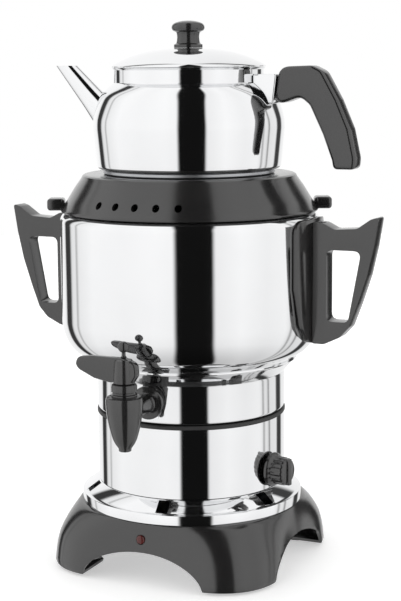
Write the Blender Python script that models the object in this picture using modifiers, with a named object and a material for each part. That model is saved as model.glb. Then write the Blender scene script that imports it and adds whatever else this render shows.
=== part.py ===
"""Two-tier electric samovar: boiler with tap and thermostat below, teapot above.

Metres, +Z up.  The floor is z = 0, the tap faces -Y and the side handles lie along X.
The boiler stands a little behind the origin, so that the origin is the middle of the
footprint between the front of the tap and the back of the drum.
"""
import math

import bmesh
import bpy
from mathutils import Matrix, Vector

# Clearances and facets shared by every piece
SEAT_GAP = 0.0003
CUT_OVERRUN = 0.002
WELD_DISTANCE = 0.00001
CORNER_REACH_SHARE = 0.45
LARGE_STEPS = 24
BASE_STEPS = 40
SMALL_STEPS = 16
TINY_STEPS = 8
CORNER_STEPS = 2

# Foot moulding: round on top, a rounded square with four feet on the floor
PAD_RADIUS = 0.012
PAD_HEIGHT = 0.004
PAD_RECESS = 0.0015
PAD_CIRCLE_RADIUS = 0.106
BASE_TOP = 0.0543
BASE_WALL = 0.003
BASE_HALF_SIDE = 0.105
BASE_CORNER_RADIUS = 0.1285
BASE_FLOOR_OPENING_RADIUS = 0.088
BASE_TOP_OPENING_RADIUS = 0.072
ARCH_HALF_WIDTH = 0.058
ARCH_HEIGHT = 0.029
CORNER_SHARPNESS = 2.3
BASE_HEIGHT_SHARES = (0.0, 0.11, 0.32, 0.52, 0.72, 0.89, 0.98, 1.0)
BASE_SIDE_SHARES = (1.0, 0.998, 0.990, 0.979, 0.964, 0.952, 0.946, 0.939)
BASE_CORNER_SHARES = (1.0, 0.996, 0.984, 0.961, 0.914, 0.856, 0.813, 0.798)

# Pilot lamp in the front of the foot moulding
LAMP_HEIGHT = 0.040
LAMP_OFFSET = -0.002
LAMP_RADIUS = 0.004
LAMP_LENGTH = 0.013
LAMP_PROUD = 0.0025
LAMP_HOLDER_RADIUS = 0.0065
LAMP_HOLDER_LENGTH = 0.010

# Sheet steel column: bottom plate, flared skirt ring, housing and seam gasket
SHEET_WALL = 0.0012
COLUMN_RADIUS = 0.0843
BOTTOM_PLATE_RADIUS = 0.0975
SKIRT_LIP_RADIUS = 0.0995
SKIRT_LIP_HEIGHT = 0.0086
SKIRT_LIP_STEP = 0.0028
SKIRT_TOP = 0.0729
SKIRT_SPIGOT = 0.008
SLOT_COUNT = 6
SLOT_WIDTH = 0.0105
SLOT_HEIGHT = 0.0080
SLOT_START_DEGREES = 9.0
HOUSING_TOP = 0.1342
SEAM_HEIGHT = 0.0033
SEAM_PROUD = 0.0007
SEAM_WIDTH = 0.007

# Boiler: open drum, and its neck, the taper with beads above the sump
DRUM_RADIUS = 0.1153
DRUM_SHOULDER_TOP = 0.3155
DRUM_SHOULDER_ROUND = 0.009
DRUM_CORNER_TOP = 0.222
DRUM_CORNER_DEPTH = 0.033
DRUM_CORNER_WIDTH = 0.0203
DRUM_CORNER_END_DEGREES = 75.0
MOUTH_RADIUS = 0.100
TAPER_BOTTOM = 0.172
BEAD_STEP = 0.0016
BEAD_HEIGHT_SHARES = (0.60,)
SUMP_CORNER = 0.003
HEATER_OPENING_RADIUS = 0.026

# Heating element and its flange under the sump
HEATER_FLANGE_RADIUS = 0.034
HEATER_FLANGE_THICKNESS = 0.003
HEATER_GASKET_THICKNESS = 0.002
HEATER_TUBE_RADIUS = 0.004
HEATER_LOOP_RADIUS = 0.045
HEATER_LOOP_HEIGHT = 0.153
HEATER_LEG_OFFSET = 0.014
HEATER_LEG_DEPTH = 0.014
HEATER_TAIL = 0.009
HEATER_LOOP_POINTS = 22
CUTOUT_RADIUS = 0.008
CUTOUT_HEIGHT = 0.006
CUTOUT_OFFSET = -0.018
TIE_ROD_RADIUS = 0.003
TIE_NUT_RADIUS = 0.0065
TIE_NUT_HEIGHT = 0.005
TIE_ROD_TAIL = 0.002

# Thermostat behind the side wall, with its knob outside
THERMOSTAT_HEIGHT = 0.090
THERMOSTAT_AZIMUTH_DEGREES = 80.0
THERMOSTAT_LENGTH = 0.026
THERMOSTAT_WIDTH = 0.028
THERMOSTAT_TALL = 0.026
THERMOSTAT_FRONT = 0.074
THERMOSTAT_BORE_DEPTH = 0.008
BRACKET_WIDTH = 0.020
SPINDLE_RADIUS = 0.003
SPINDLE_HOLE_RADIUS = 0.005
SPINDLE_END = 0.098
KNOB_RADIUS = 0.0152
KNOB_BACK = 0.0865
KNOB_FACE = 0.1035
KNOB_GRIP_RADIUS = 0.0125
KNOB_FLANGE = 0.004
KNOB_POINTER_WIDTH = 0.005
KNOB_POINTER_PROUD = 0.0022

# Terminal block and power inlet
TERMINAL_LENGTH = 0.030
TERMINAL_WIDTH = 0.018
TERMINAL_TALL = 0.014
TERMINAL_PLACE = (-0.034, 0.022)
TERMINAL_SCREW_RADIUS = 0.0025
TERMINAL_SCREW_DEPTH = 0.004
TERMINAL_COUNT = 3
INLET_HEIGHT = 0.100
INLET_BODY_WIDTH = 0.028
INLET_BODY_TALL = 0.021
INLET_DEPTH = 0.024
INLET_FRONT = 0.0895
INLET_FLANGE_BORDER = 0.004
INLET_FLANGE_DEPTH = 0.009
INLET_SOCKET_WIDTH = 0.022
INLET_SOCKET_TALL = 0.015
INLET_SOCKET_DEPTH = 0.015
INLET_PIN_LENGTH = 0.011
INLET_PIN_WIDTH = 0.002
INLET_PIN_TALL = 0.005
INLET_PIN_PITCH = 0.007

# Tap: shank through the sump wall, vertical spout, plug and wing lever
TAP_HEIGHT = 0.158
TAP_LENGTH = 0.0467
TAP_BODY_RADIUS = 0.0157
TAP_BODY_TOP = 0.1665
TAP_TIP_RADIUS = 0.0055
TAP_SPOUT_SHARES = ((0.91, 0.65), (0.735, 0.44), (0.47, 0.23), (0.10, 0.085))
TAP_TIP = 0.126
TAP_SHANK_RADIUS = 0.008
TAP_SHANK_INNER_END = 0.0665
TAP_SHANK_BORE_RADIUS = 0.0045
TAP_FLANGE_RADIUS = 0.0145
TAP_FLANGE_THICKNESS = 0.004
TAP_GASKET_THICKNESS = 0.002
TAP_INNER_GASKET_RADIUS = 0.013
TAP_INNER_GASKET_THICKNESS = 0.0035
TAP_NUT_RADIUS = 0.0135
TAP_NUT_THICKNESS = 0.006
PLUG_RADIUS = 0.0067
PLUG_BOTTOM = 0.143
PLUG_PORT_RADIUS = 0.0035
OUTLET_BORE_RADIUS = 0.0032
TAP_SPINDLE_RADIUS = 0.0045
TAP_SPINDLE_ENTRY = 0.008
BONNET_RADIUS = 0.0108
BONNET_TOP = 0.1835
BONNET_CHAMFER = 0.0015
LEVER_HUB_RADIUS = 0.0090
LEVER_HUB_TOP_RADIUS = 0.0072
LEVER_BOTTOM = 0.1838
LEVER_TOP = 0.2050
LEVER_TIP_REACH = 0.043
LEVER_THICKNESS = 0.008
LEVER_ROUNDING = 0.002
LEVER_CORNER_RADIUS = 0.004
LEVER_OUTLINE_SHARES = (
    (-1.03, 0.62), (-0.98, 0.92), (-0.70, 1.00), (0.05, 1.00), (0.29, 0.80),
    (0.31, 0.35), (0.20, 0.00), (-0.30, 0.00), (-0.62, 0.12), (-0.95, 0.42),
)
FINIAL_STEM_RADIUS = 0.0016
FINIAL_BALL_RADIUS = 0.0048
FINIAL_BALL_HEIGHT = 0.214

# Side handles on their saddles
SADDLE_THICKNESS = 0.004
SADDLE_HALF_WIDTH = 0.032
SADDLE_TOP = 0.3115
SADDLE_BOTTOM = 0.2045
SADDLE_CORNER_RADIUS = 0.009
SADDLE_OUTLINE_SHARES = ((1.0, 1.0), (1.0, 0.45), (0.78, 0.14), (0.36, 0.0))
HANDLE_LENGTH = 0.0584
HANDLE_TOP = 0.3155
HANDLE_BOTTOM = 0.204
HANDLE_THICKNESS = 0.016
HANDLE_ROUNDING = 0.003
HANDLE_CORNER_RADIUS = 0.006
HANDLE_OUTLINE_SHARES = (
    (-0.10, 0.946), (0.154, 0.94), (0.33, 0.893), (0.673, 0.905), (0.88, 0.98), (1.0, 1.0),
    (0.931, 0.771), (0.834, 0.547), (0.692, 0.323), (0.563, 0.143), (0.42, 0.060), (0.178, 0.0),
    (-0.10, 0.0),
)
HANDLE_OPENING_SHARES = ((0.209, 0.735), (0.743, 0.735), (0.546, 0.18), (0.209, 0.18))
HANDLE_SCREW_RADIUS = 0.0022
HANDLE_SCREW_HEAD_RADIUS = 0.0048
HANDLE_SCREW_HEAD_HEIGHT = 0.0026
HANDLE_SCREW_ENTRY = 0.012
HANDLE_SCREW_SHARES = (0.82, 0.095)

# Boiler lid: the black cone that carries the teapot
LID_HEIGHT = 0.0322
LID_TOP_RADIUS = 0.0955
LID_TOP_EDGE = 0.0025
LID_BOTTOM_RADIUS = 0.1143
LID_BOTTOM_EDGE = 0.0028
LID_WALL = 0.0034
LID_STEAM_RADIUS = 0.060
LID_SPIGOT_DEPTH = 0.007
LID_SPIGOT_CLEARANCE = 0.001
VENT_COUNT = 5
VENT_PITCH_DEGREES = 10.0
VENT_RADIUS = 0.0031
VENT_HEIGHT_SHARE = 0.33
EAR_REACH = 0.126
EAR_WIDTH = 0.020
EAR_HEIGHT = 0.0105
EAR_TURN_DEGREES = 25.0
EAR_ROUNDING = 0.0025

# Teapot
POT_WALL = 0.001
POT_RADIUS = 0.0845
POT_BOTTOM_RADIUS = 0.0815
POT_BOTTOM_ROUND = 0.0035
POT_BODY_HEIGHT = 0.0354
POT_SHOULDER_HEIGHT = 0.0395
POT_HEIGHT = 0.0879
POT_NECK_RADIUS = 0.0662
POT_SHOULDER_SHARES = (
    (0.10, 0.960), (0.38, 0.843), (0.58, 0.737), (0.70, 0.628), (0.87, 0.413), (0.98, 0.20),
)
POT_DISC_RADIUS = 0.076
POT_DISC_HEIGHT = 0.004

# Teapot spout with its strainer holes
SPOUT_ROOT_RISE = 0.0479
SPOUT_ROOT_RADIUS = 0.0125
SPOUT_LENGTH = 0.0385
SPOUT_TIP_OVER_RIM = 0.002
SPOUT_TIP_RADIUS = 0.0076
SPOUT_WALL = 0.001
SPOUT_SINK = 0.012
STRAINER_HOLE_RADIUS = 0.0022
STRAINER_RING_RADIUS = 0.0062
STRAINER_RING_COUNT = 6

# Teapot handle on its steel ferrule
GRIP_STANDOFF = 0.0015
GRIP_LENGTH = 0.0713
GRIP_OVER_RIM = 0.001
GRIP_HEIGHT = 0.087
GRIP_THICKNESS = 0.019
GRIP_ROUNDING = 0.005
GRIP_CORNER_RADIUS = 0.007
GRIP_OUTLINE_SHARES = (
    (0.03, 0.99), (0.44, 1.00), (0.585, 0.945), (0.775, 0.672), (0.925, 0.391), (1.0, 0.11),
    (0.99, 0.0), (0.72, 0.0), (0.70, 0.09), (0.585, 0.34), (0.42, 0.62), (0.30, 0.70), (-0.03, 0.605),
)
FERRULE_UNDER_RIM = 0.006
FERRULE_HEIGHT = 0.0255
FERRULE_SINK = 0.024
FERRULE_WIDTH = 0.020
FERRULE_EDGE = 0.002
GRIP_STUD_RADIUS = 0.0022
GRIP_STUD_STANDOFF = 0.0013
GRIP_STUD_LENGTH = 0.020

# Teapot lid with its knob
COVER_RIM_OVERHANG = 0.002
COVER_RIM_THICKNESS = 0.001
COVER_HEIGHT = 0.0162
COVER_WALL = 0.0012
COVER_SPIGOT_DEPTH = 0.006
COVER_SPIGOT_CLEARANCE = 0.0012
COVER_DOME_SHARES = ((0.19, 1.0), (0.44, 0.90), (0.69, 0.64), (0.88, 0.31), (0.97, 0.10))
COVER_SCREW_RADIUS = 0.0017
COVER_SCREW_HEAD_RADIUS = 0.004
COVER_SCREW_HEAD_HEIGHT = 0.002
COVER_SCREW_ENTRY = 0.012
PULL_DISC_RADIUS = 0.0145
PULL_STEM_RADIUS = 0.0106
PULL_FOOT_RADIUS = 0.0126
PULL_HEIGHT = 0.0235
PULL_PROFILE_SHARES = (
    (0.41, 0.985), (0.79, 0.92), (0.98, 0.81), (1.0, 0.72), (0.93, 0.63),
)
PULL_STEM_TOP_SHARE = 0.58
PULL_WAIST_SHARE = 0.92
PULL_WAIST_HEIGHT_SHARE = 0.37
PULL_STEM_BOTTOM_SHARE = 0.15
PULL_FOOT_SHARE = 0.12

# Heights and radii that follow from the sizes above
BASE_BOTTOM = PAD_HEIGHT - PAD_RECESS
BASE_HEIGHT = BASE_TOP - BASE_BOTTOM
PLATE_BOTTOM = BASE_TOP + SEAT_GAP
PLATE_TOP = PLATE_BOTTOM + SHEET_WALL
SEAM_BOTTOM = HOUSING_TOP + SEAT_GAP
SUMP_BOTTOM = SEAM_BOTTOM + SEAM_HEIGHT + SEAT_GAP
GASKET_TOP = SUMP_BOTTOM - SEAT_GAP
FLANGE_TOP = GASKET_TOP - HEATER_GASKET_THICKNESS - SEAT_GAP
FLANGE_BOTTOM = FLANGE_TOP - HEATER_FLANGE_THICKNESS
LID_SEAT = DRUM_SHOULDER_TOP + SEAT_GAP
LID_TOP = LID_SEAT + LID_HEIGHT
POT_DISC_BOTTOM = LID_TOP + SEAT_GAP
POT_BOTTOM = POT_DISC_BOTTOM + POT_DISC_HEIGHT + SEAT_GAP
POT_BODY_TOP = POT_BOTTOM + POT_BODY_HEIGHT
POT_NECK_BOTTOM = POT_BODY_TOP + POT_SHOULDER_HEIGHT
POT_RIM = POT_BOTTOM + POT_HEIGHT
SPOUT_ROOT_HEIGHT = POT_BOTTOM + SPOUT_ROOT_RISE
SPOUT_TIP_HEIGHT = POT_RIM + SPOUT_TIP_OVER_RIM
SPOUT_TIP_REACH = POT_RADIUS + SPOUT_LENGTH
GRIP_ROOT = POT_RADIUS + GRIP_STANDOFF
GRIP_BOTTOM = POT_RIM + GRIP_OVER_RIM - GRIP_HEIGHT
FERRULE_TOP = POT_RIM - FERRULE_UNDER_RIM
FERRULE_BOTTOM = FERRULE_TOP - FERRULE_HEIGHT
GRIP_STUD_LEVEL = (FERRULE_TOP + FERRULE_BOTTOM) / 2
COVER_RIM_RADIUS = POT_NECK_RADIUS + COVER_RIM_OVERHANG
COVER_SEAT = POT_RIM + SEAT_GAP
COVER_TOP = COVER_SEAT + COVER_HEIGHT
PULL_SEAT = COVER_TOP + SEAT_GAP
SADDLE_RADIUS = DRUM_RADIUS + SEAT_GAP + SADDLE_THICKNESS
TAP_REACH = COLUMN_RADIUS + TAP_LENGTH
BODY_AXIS_Y = (TAP_REACH + TAP_BODY_RADIUS - DRUM_RADIUS) / 2

# Turns that point a piece's own +Z to the front, the back, the side and the thermostat
TO_FRONT = (math.radians(90), 0, 0)
TO_BACK = (math.radians(-90), 0, 0)
TO_SIDE = (0, math.radians(90), 0)
THERMOSTAT_TURN = math.radians(THERMOSTAT_AZIMUTH_DEGREES - 90)
TO_DIAL = (0, math.radians(90), THERMOSTAT_TURN)


# Scene, collections and materials

def clear_scene():
    for old in list(bpy.data.objects):
        bpy.data.objects.remove(old, do_unlink=True)
    for old in list(bpy.data.collections):
        bpy.data.collections.remove(old)


def new_collection(name):
    collection = bpy.data.collections.new(name)
    bpy.context.scene.collection.children.link(collection)
    return collection


def finish_material(name, color, roughness, metallic):
    material = bpy.data.materials.new(name)
    material.use_nodes = True
    shader = material.node_tree.nodes["Principled BSDF"]
    shader.inputs["Base Color"].default_value = (*color, 1.0)
    shader.inputs["Roughness"].default_value = roughness
    shader.inputs["Metallic"].default_value = metallic
    return material


clear_scene()
SAMOVAR = new_collection("samovar")
CUTTERS = new_collection("cutters")
STEEL = finish_material("polished_steel", (0.78, 0.78, 0.79), 0.08, 1.0)
BAKELITE = finish_material("black_bakelite", (0.012, 0.012, 0.013), 0.22, 0.0)
RUBBER = finish_material("grey_rubber", (0.06, 0.06, 0.06), 0.8, 0.0)
SILICONE = finish_material("dark_silicone", (0.035, 0.035, 0.037), 0.6, 0.0)
PLATED = finish_material("plated_steel", (0.55, 0.56, 0.58), 0.35, 1.0)
BRASS = finish_material("brass", (0.62, 0.44, 0.16), 0.3, 1.0)
PORCELAIN = finish_material("thermostat_porcelain", (0.75, 0.73, 0.68), 0.5, 0.0)
LAMP_RED = finish_material("lamp_red", (0.45, 0.02, 0.015), 0.15, 0.0)

AXIS = bpy.data.objects.new("boiler_axis", None)
AXIS.location = (0, BODY_AXIS_Y, 0)
SAMOVAR.objects.link(AXIS)


def joint_empty(name, place, parent):
    """An empty on a joint's axis, which carries the pieces that move with it."""
    empty = bpy.data.objects.new(name, None)
    empty.location = place
    empty.parent = parent
    SAMOVAR.objects.link(empty)
    return empty


KNOB_AXIS = joint_empty(
    "thermostat_axis",
    (KNOB_BACK * math.cos(THERMOSTAT_TURN), KNOB_BACK * math.sin(THERMOSTAT_TURN), THERMOSTAT_HEIGHT), AXIS)
TAP_AXIS = joint_empty("tap_axis", (0, -TAP_REACH, LEVER_BOTTOM), AXIS)
LID_SEAT_POINT = joint_empty("boiler_lid_seat", (0, 0, LID_SEAT), AXIS)
POT_SEAT_POINT = joint_empty("teapot_seat", (0, 0, POT_DISC_BOTTOM - LID_SEAT), LID_SEAT_POINT)
COVER_SEAT_POINT = joint_empty("teapot_lid_seat", (0, 0, COVER_SEAT - POT_DISC_BOTTOM), POT_SEAT_POINT)


# Modelling helpers

def place(piece, material, parent=None, at=(0, 0, 0), turn=(0, 0, 0)):
    """Adds a finished piece to the samovar, or a cutter when it has no material.

    The place and the turn are measured from the boiler's axis on the floor, and the
    piece keeps them when its parent is an empty that stands somewhere else.
    """
    holder = parent or AXIS
    if material is None:
        CUTTERS.objects.link(piece)
        piece.hide_render = True
        piece.display_type = "WIRE"
    else:
        SAMOVAR.objects.link(piece)
        piece.data.materials.clear()
        piece.data.materials.append(material)
    offset = Vector((0, 0, 0))
    step = holder
    while step is not AXIS:
        offset += step.location
        step = step.parent
    piece.parent = holder
    piece.location = Vector(at) - offset
    piece.rotation_euler = turn
    return piece


def smooth(piece, degrees=30):
    piece.data.shade_smooth()
    piece.data.set_sharp_from_angle(angle=math.radians(degrees))


def screw(piece, steps):
    turn = piece.modifiers.new("turn", "SCREW")
    turn.axis = "Z"
    turn.angle = math.radians(360)
    turn.steps = steps
    turn.render_steps = steps
    turn.use_merge_vertices = True
    turn.merge_threshold = WELD_DISTANCE


def turned(name, profile, material, steps=LARGE_STEPS, wall=None, ring=False, **where):
    """A turned piece.  The profile runs top to bottom down its outer side, as (radius, height).

    With a wall it is a sheet of that thickness, grown inwards.  A ring's profile closes.
    """
    mesh = bpy.data.meshes.new(name)
    count = len(profile)
    edges = [(i, i + 1) for i in range(count - 1)]
    if ring:
        edges.append((count - 1, 0))
    mesh.from_pydata([(radius, 0, height) for radius, height in profile], edges, [])
    piece = bpy.data.objects.new(name, mesh)
    screw(piece, steps)
    if wall:
        sheet = piece.modifiers.new("sheet", "SOLIDIFY")
        sheet.thickness = wall
        sheet.offset = -1
        sheet.use_even_offset = True
    return place(piece, material, **where)


def cylinder(name, radius, bottom, top, material, steps=SMALL_STEPS, top_radius=None, **where):
    """A cylinder or cone between two heights on its own axis."""
    mesh = bpy.data.meshes.new(name)
    shape = bmesh.new()
    bmesh.ops.create_cone(
        shape, cap_ends=True, segments=steps, radius1=radius,
        radius2=radius if top_radius is None else top_radius, depth=top - bottom)
    bmesh.ops.translate(shape, verts=shape.verts, vec=(0, 0, (top + bottom) / 2))
    shape.to_mesh(mesh)
    shape.free()
    return place(bpy.data.objects.new(name, mesh), material, **where)


def washer(name, outer, inner, bottom, top, material, steps=SMALL_STEPS, **where):
    profile = [(inner, top), (outer, top), (outer, bottom), (inner, bottom)]
    return turned(name, profile, material, steps=steps, ring=True, **where)


def block(name, size, center, material, rounding=0, **where):
    """A box of the given size about its middle."""
    mesh = bpy.data.meshes.new(name)
    shape = bmesh.new()
    bmesh.ops.create_cube(shape, size=1)
    bmesh.ops.scale(shape, verts=shape.verts, vec=size)
    bmesh.ops.translate(shape, verts=shape.verts, vec=center)
    shape.to_mesh(mesh)
    shape.free()
    piece = bpy.data.objects.new(name, mesh)
    if rounding:
        edge = piece.modifiers.new("edge", "BEVEL")
        edge.width = rounding
        edge.segments = 2
    return place(piece, material, **where)


def rounded(points, radius, steps=CORNER_STEPS):
    """The outline with each corner replaced by an arc, no longer than its sides allow."""
    outline = []
    count = len(points)
    for index, point in enumerate(points):
        corner = Vector(point)
        before = Vector(points[index - 1]) - corner
        after = Vector(points[(index + 1) % count]) - corner
        half_angle = before.angle(after) / 2
        longest = min(before.length, after.length) * CORNER_REACH_SHARE
        reach = min(radius / math.tan(half_angle), longest)
        start = corner + before.normalized() * reach
        end = corner + after.normalized() * reach
        for step in range(steps + 1):
            share = step / steps
            first = start.lerp(corner, share)
            second = corner.lerp(end, share)
            outline.append(tuple(first.lerp(second, share)))
    return outline


def spread(shares, origin, size):
    """Points at shares of a size from an origin, each as two coordinates."""
    return [(origin[0] + across * size[0], origin[1] + up * size[1]) for across, up in shares]


def arc(center, radii, start_degrees, end_degrees, steps):
    """Points along an elliptic arc, as (radius, height), measured from the outer side down."""
    points = []
    for step in range(steps + 1):
        angle = math.radians(start_degrees + (end_degrees - start_degrees) * step / steps)
        points.append((center[0] + radii[0] * math.cos(angle), center[1] - radii[1] * math.sin(angle)))
    return points


def flat_piece(name, outlines, thickness, rounding, material, upright=True, **where):
    """A plate from closed outlines with rounded edges; upright outlines stand in X and Z."""
    curve = bpy.data.curves.new(name, "CURVE")
    curve.dimensions = "2D"
    curve.fill_mode = "BOTH"
    curve.extrude = thickness / 2 - rounding
    curve.bevel_depth = rounding
    curve.bevel_resolution = 1
    curve.offset = -rounding
    for outline in outlines:
        spline = curve.splines.new("POLY")
        spline.points.add(len(outline) - 1)
        for point, (across, up) in zip(spline.points, outline):
            point.co = (across, up, 0, 1)
        spline.use_cyclic_u = True
    return place(as_mesh(name, curve, upright), material, **where)


def as_mesh(name, curve, upright=False):
    """A curve turned into a welded mesh object."""
    guide = bpy.data.objects.new(name + "_outline", curve)
    CUTTERS.objects.link(guide)
    graph = bpy.context.evaluated_depsgraph_get()
    mesh = bpy.data.meshes.new_from_object(guide.evaluated_get(graph))
    bpy.data.objects.remove(guide, do_unlink=True)
    shape = bmesh.new()
    shape.from_mesh(mesh)
    bmesh.ops.remove_doubles(shape, verts=shape.verts, dist=WELD_DISTANCE)
    if upright:
        stand_up = Matrix.Rotation(math.radians(90), 3, "X")
        bmesh.ops.rotate(shape, verts=shape.verts, cent=(0, 0, 0), matrix=stand_up)
    bmesh.ops.recalc_face_normals(shape, faces=shape.faces)
    shape.to_mesh(mesh)
    shape.free()
    return bpy.data.objects.new(name, mesh)


def cut(piece, *cutters, operation="DIFFERENCE"):
    for cutter in cutters:
        change = piece.modifiers.new(operation.lower(), "BOOLEAN")
        change.operation = operation
        change.solver = "EXACT"
        change.object = cutter
    return piece


def at_azimuth(degrees, radius, height=0):
    """A point round the boiler's axis; azimuth 0 is the front, and +90 is the +X side."""
    angle = math.radians(degrees)
    return (radius * math.sin(angle), -radius * math.cos(angle), height)


# Foot moulding and what it carries

def base_levels(inset, floor, ceiling, every=1):
    """Rings of the foot moulding's wall between two heights, moved in by the inset."""
    rings = []
    rows = list(zip(BASE_HEIGHT_SHARES, BASE_SIDE_SHARES, BASE_CORNER_SHARES))
    for height_share, side_share, corner_share in rows[:-1:every] + rows[-1:]:
        side = BASE_HALF_SIDE * side_share - inset
        corner = BASE_CORNER_RADIUS * corner_share - inset
        height = floor + (ceiling - floor) * height_share
        ring = []
        for step in range(BASE_STEPS):
            angle = math.tau * step / BASE_STEPS
            swell = abs(math.sin(2 * angle)) ** CORNER_SHARPNESS
            radius = side + (corner - side) * swell
            ring.append((radius * math.cos(angle), radius * math.sin(angle), height))
        rings.append(ring)
    return rings


def loft(name, rings, material, **where):
    """A closed solid through rings of equal point counts, listed from the bottom up."""
    mesh = bpy.data.meshes.new(name)
    shape = bmesh.new()
    loops = [[shape.verts.new(point) for point in ring] for ring in rings]
    count = len(loops[0])
    for lower, upper in zip(loops, loops[1:]):
        for i in range(count):
            j = (i + 1) % count
            shape.faces.new((lower[i], lower[j], upper[j], upper[i]))
    shape.faces.new(list(reversed(loops[0])))
    shape.faces.new(loops[-1])
    shape.to_mesh(mesh)
    shape.free()
    return place(bpy.data.objects.new(name, mesh), material, **where)


def make_base():
    base = loft("base_skirt", base_levels(0, BASE_BOTTOM, BASE_TOP), BAKELITE)
    hollow = loft("base_hollow_cutter",
                  base_levels(BASE_WALL, BASE_BOTTOM + BASE_WALL, BASE_TOP - BASE_WALL, every=2), None)
    floor_hole = cylinder("base_floor_cutter", BASE_FLOOR_OPENING_RADIUS, -CUT_OVERRUN,
                          BASE_BOTTOM + BASE_WALL * 2, None, steps=LARGE_STEPS)
    top_hole = cylinder("base_top_cutter", BASE_TOP_OPENING_RADIUS, BASE_TOP - BASE_WALL * 2,
                        BASE_TOP + CUT_OVERRUN, None, steps=LARGE_STEPS)
    cut(base, hollow, floor_hole, top_hole)
    for name, turn in (("front", TO_FRONT), ("side", (math.radians(90), 0, math.radians(90)))):
        arch = cylinder("arch_cutter_" + name, 1, -BASE_CORNER_RADIUS, BASE_CORNER_RADIUS, None,
                        steps=LARGE_STEPS, turn=turn)
        arch.data.transform(Matrix.Diagonal((ARCH_HALF_WIDTH, ARCH_HEIGHT, 1, 1)))
        cut(base, arch)
    for number, degrees in enumerate((-45, 45, 135, 225), start=1):
        spot = at_azimuth(degrees, PAD_CIRCLE_RADIUS)
        cylinder("foot_pad_%d" % number, PAD_RADIUS, 0, PAD_HEIGHT, RUBBER, at=spot)
        recess = cylinder("pad_cutter_%d" % number, PAD_RADIUS + SEAT_GAP, -CUT_OVERRUN,
                          PAD_HEIGHT + SEAT_GAP, None, at=spot)
        cut(base, recess)
    smooth(base, 40)
    return base


def base_face_reach(height):
    """How far the middle of the base's front face stands from the axis at a height."""
    share = (height - BASE_BOTTOM) / BASE_HEIGHT
    rows = list(zip(BASE_HEIGHT_SHARES, BASE_SIDE_SHARES))
    for (low, low_side), (high, high_side) in zip(rows, rows[1:]):
        if low <= share <= high:
            blend = (share - low) / (high - low)
            return BASE_HALF_SIDE * (low_side + (high_side - low_side) * blend)
    return BASE_HALF_SIDE * rows[-1][1]


def make_pilot_lamp(base):
    spot = (LAMP_OFFSET, 0, LAMP_HEIGHT)
    face = base_face_reach(LAMP_HEIGHT) + LAMP_PROUD
    back = face - LAMP_LENGTH
    dome = arc((0, face - LAMP_RADIUS / 2), (LAMP_RADIUS, LAMP_RADIUS / 2), -90, 0, 4)
    turned("pilot_lamp_lens", dome + [(LAMP_RADIUS, back), (0, back)], LAMP_RED,
           steps=SMALL_STEPS, at=spot, turn=TO_FRONT)
    hole = cylinder("lamp_cutter", LAMP_RADIUS + SEAT_GAP, back, face + CUT_OVERRUN, None,
                    at=spot, turn=TO_FRONT)
    cut(base, hole)
    wall_back = base_face_reach(LAMP_HEIGHT + LAMP_HOLDER_RADIUS) - BASE_WALL - SEAT_GAP * 3
    washer("pilot_lamp_holder", LAMP_HOLDER_RADIUS, LAMP_RADIUS + SEAT_GAP,
           wall_back - LAMP_HOLDER_LENGTH, wall_back, PORCELAIN, at=spot, turn=TO_FRONT)


# Column: bottom plate, skirt ring, housing and seam gasket

def make_column():
    washer("bottom_plate", BOTTOM_PLATE_RADIUS, TIE_ROD_RADIUS + SEAT_GAP, PLATE_BOTTOM, PLATE_TOP,
           PLATED, steps=LARGE_STEPS)
    spigot = COLUMN_RADIUS - SHEET_WALL - SEAT_GAP
    lip_top = PLATE_BOTTOM + SKIRT_LIP_HEIGHT
    cone_foot = SKIRT_LIP_RADIUS - SKIRT_LIP_STEP
    skirt = turned("skirt_ring", [
        (spigot, SKIRT_TOP + SKIRT_SPIGOT), (spigot, SKIRT_TOP), (COLUMN_RADIUS, SKIRT_TOP),
        (cone_foot, lip_top + SHEET_WALL), (SKIRT_LIP_RADIUS - SHEET_WALL, lip_top),
        (SKIRT_LIP_RADIUS, lip_top - SHEET_WALL), (SKIRT_LIP_RADIUS, PLATE_BOTTOM)],
        STEEL, wall=SHEET_WALL)
    middle = (SKIRT_TOP + lip_top) / 2
    radius = (COLUMN_RADIUS + cone_foot) / 2
    for number in range(SLOT_COUNT):
        degrees = SLOT_START_DEGREES + 360 * number / SLOT_COUNT
        slot = block("slot_cutter_%d" % (number + 1), (SLOT_WIDTH, BASE_TOP, SLOT_HEIGHT), (0, 0, 0), None,
                     at=at_azimuth(degrees, radius, middle), turn=(0, 0, math.radians(degrees)))
        cut(skirt, slot)
    smooth(skirt)
    housing = turned("housing_shell", [
        (COLUMN_RADIUS, HOUSING_TOP), (COLUMN_RADIUS, SKIRT_TOP + SEAT_GAP)], STEEL, wall=SHEET_WALL)
    smooth(housing)
    washer("seam_gasket", COLUMN_RADIUS + SEAM_PROUD, COLUMN_RADIUS - SEAM_WIDTH, SEAM_BOTTOM,
           SEAM_BOTTOM + SEAM_HEIGHT, SILICONE, steps=LARGE_STEPS)
    return housing


# Boiler drum and neck

def drum_corner():
    center = (DRUM_RADIUS - DRUM_CORNER_WIDTH, DRUM_CORNER_TOP)
    radii = (DRUM_CORNER_WIDTH, DRUM_CORNER_DEPTH)
    return arc(center, radii, 0, DRUM_CORNER_END_DEGREES, 5)


def drum_profile():
    shoulder = (DRUM_RADIUS - DRUM_SHOULDER_ROUND, DRUM_SHOULDER_TOP - DRUM_SHOULDER_ROUND)
    rounding = (DRUM_SHOULDER_ROUND, DRUM_SHOULDER_ROUND)
    return [(MOUTH_RADIUS, DRUM_SHOULDER_TOP)] + arc(shoulder, rounding, -90, 0, 3) + drum_corner()


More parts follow.
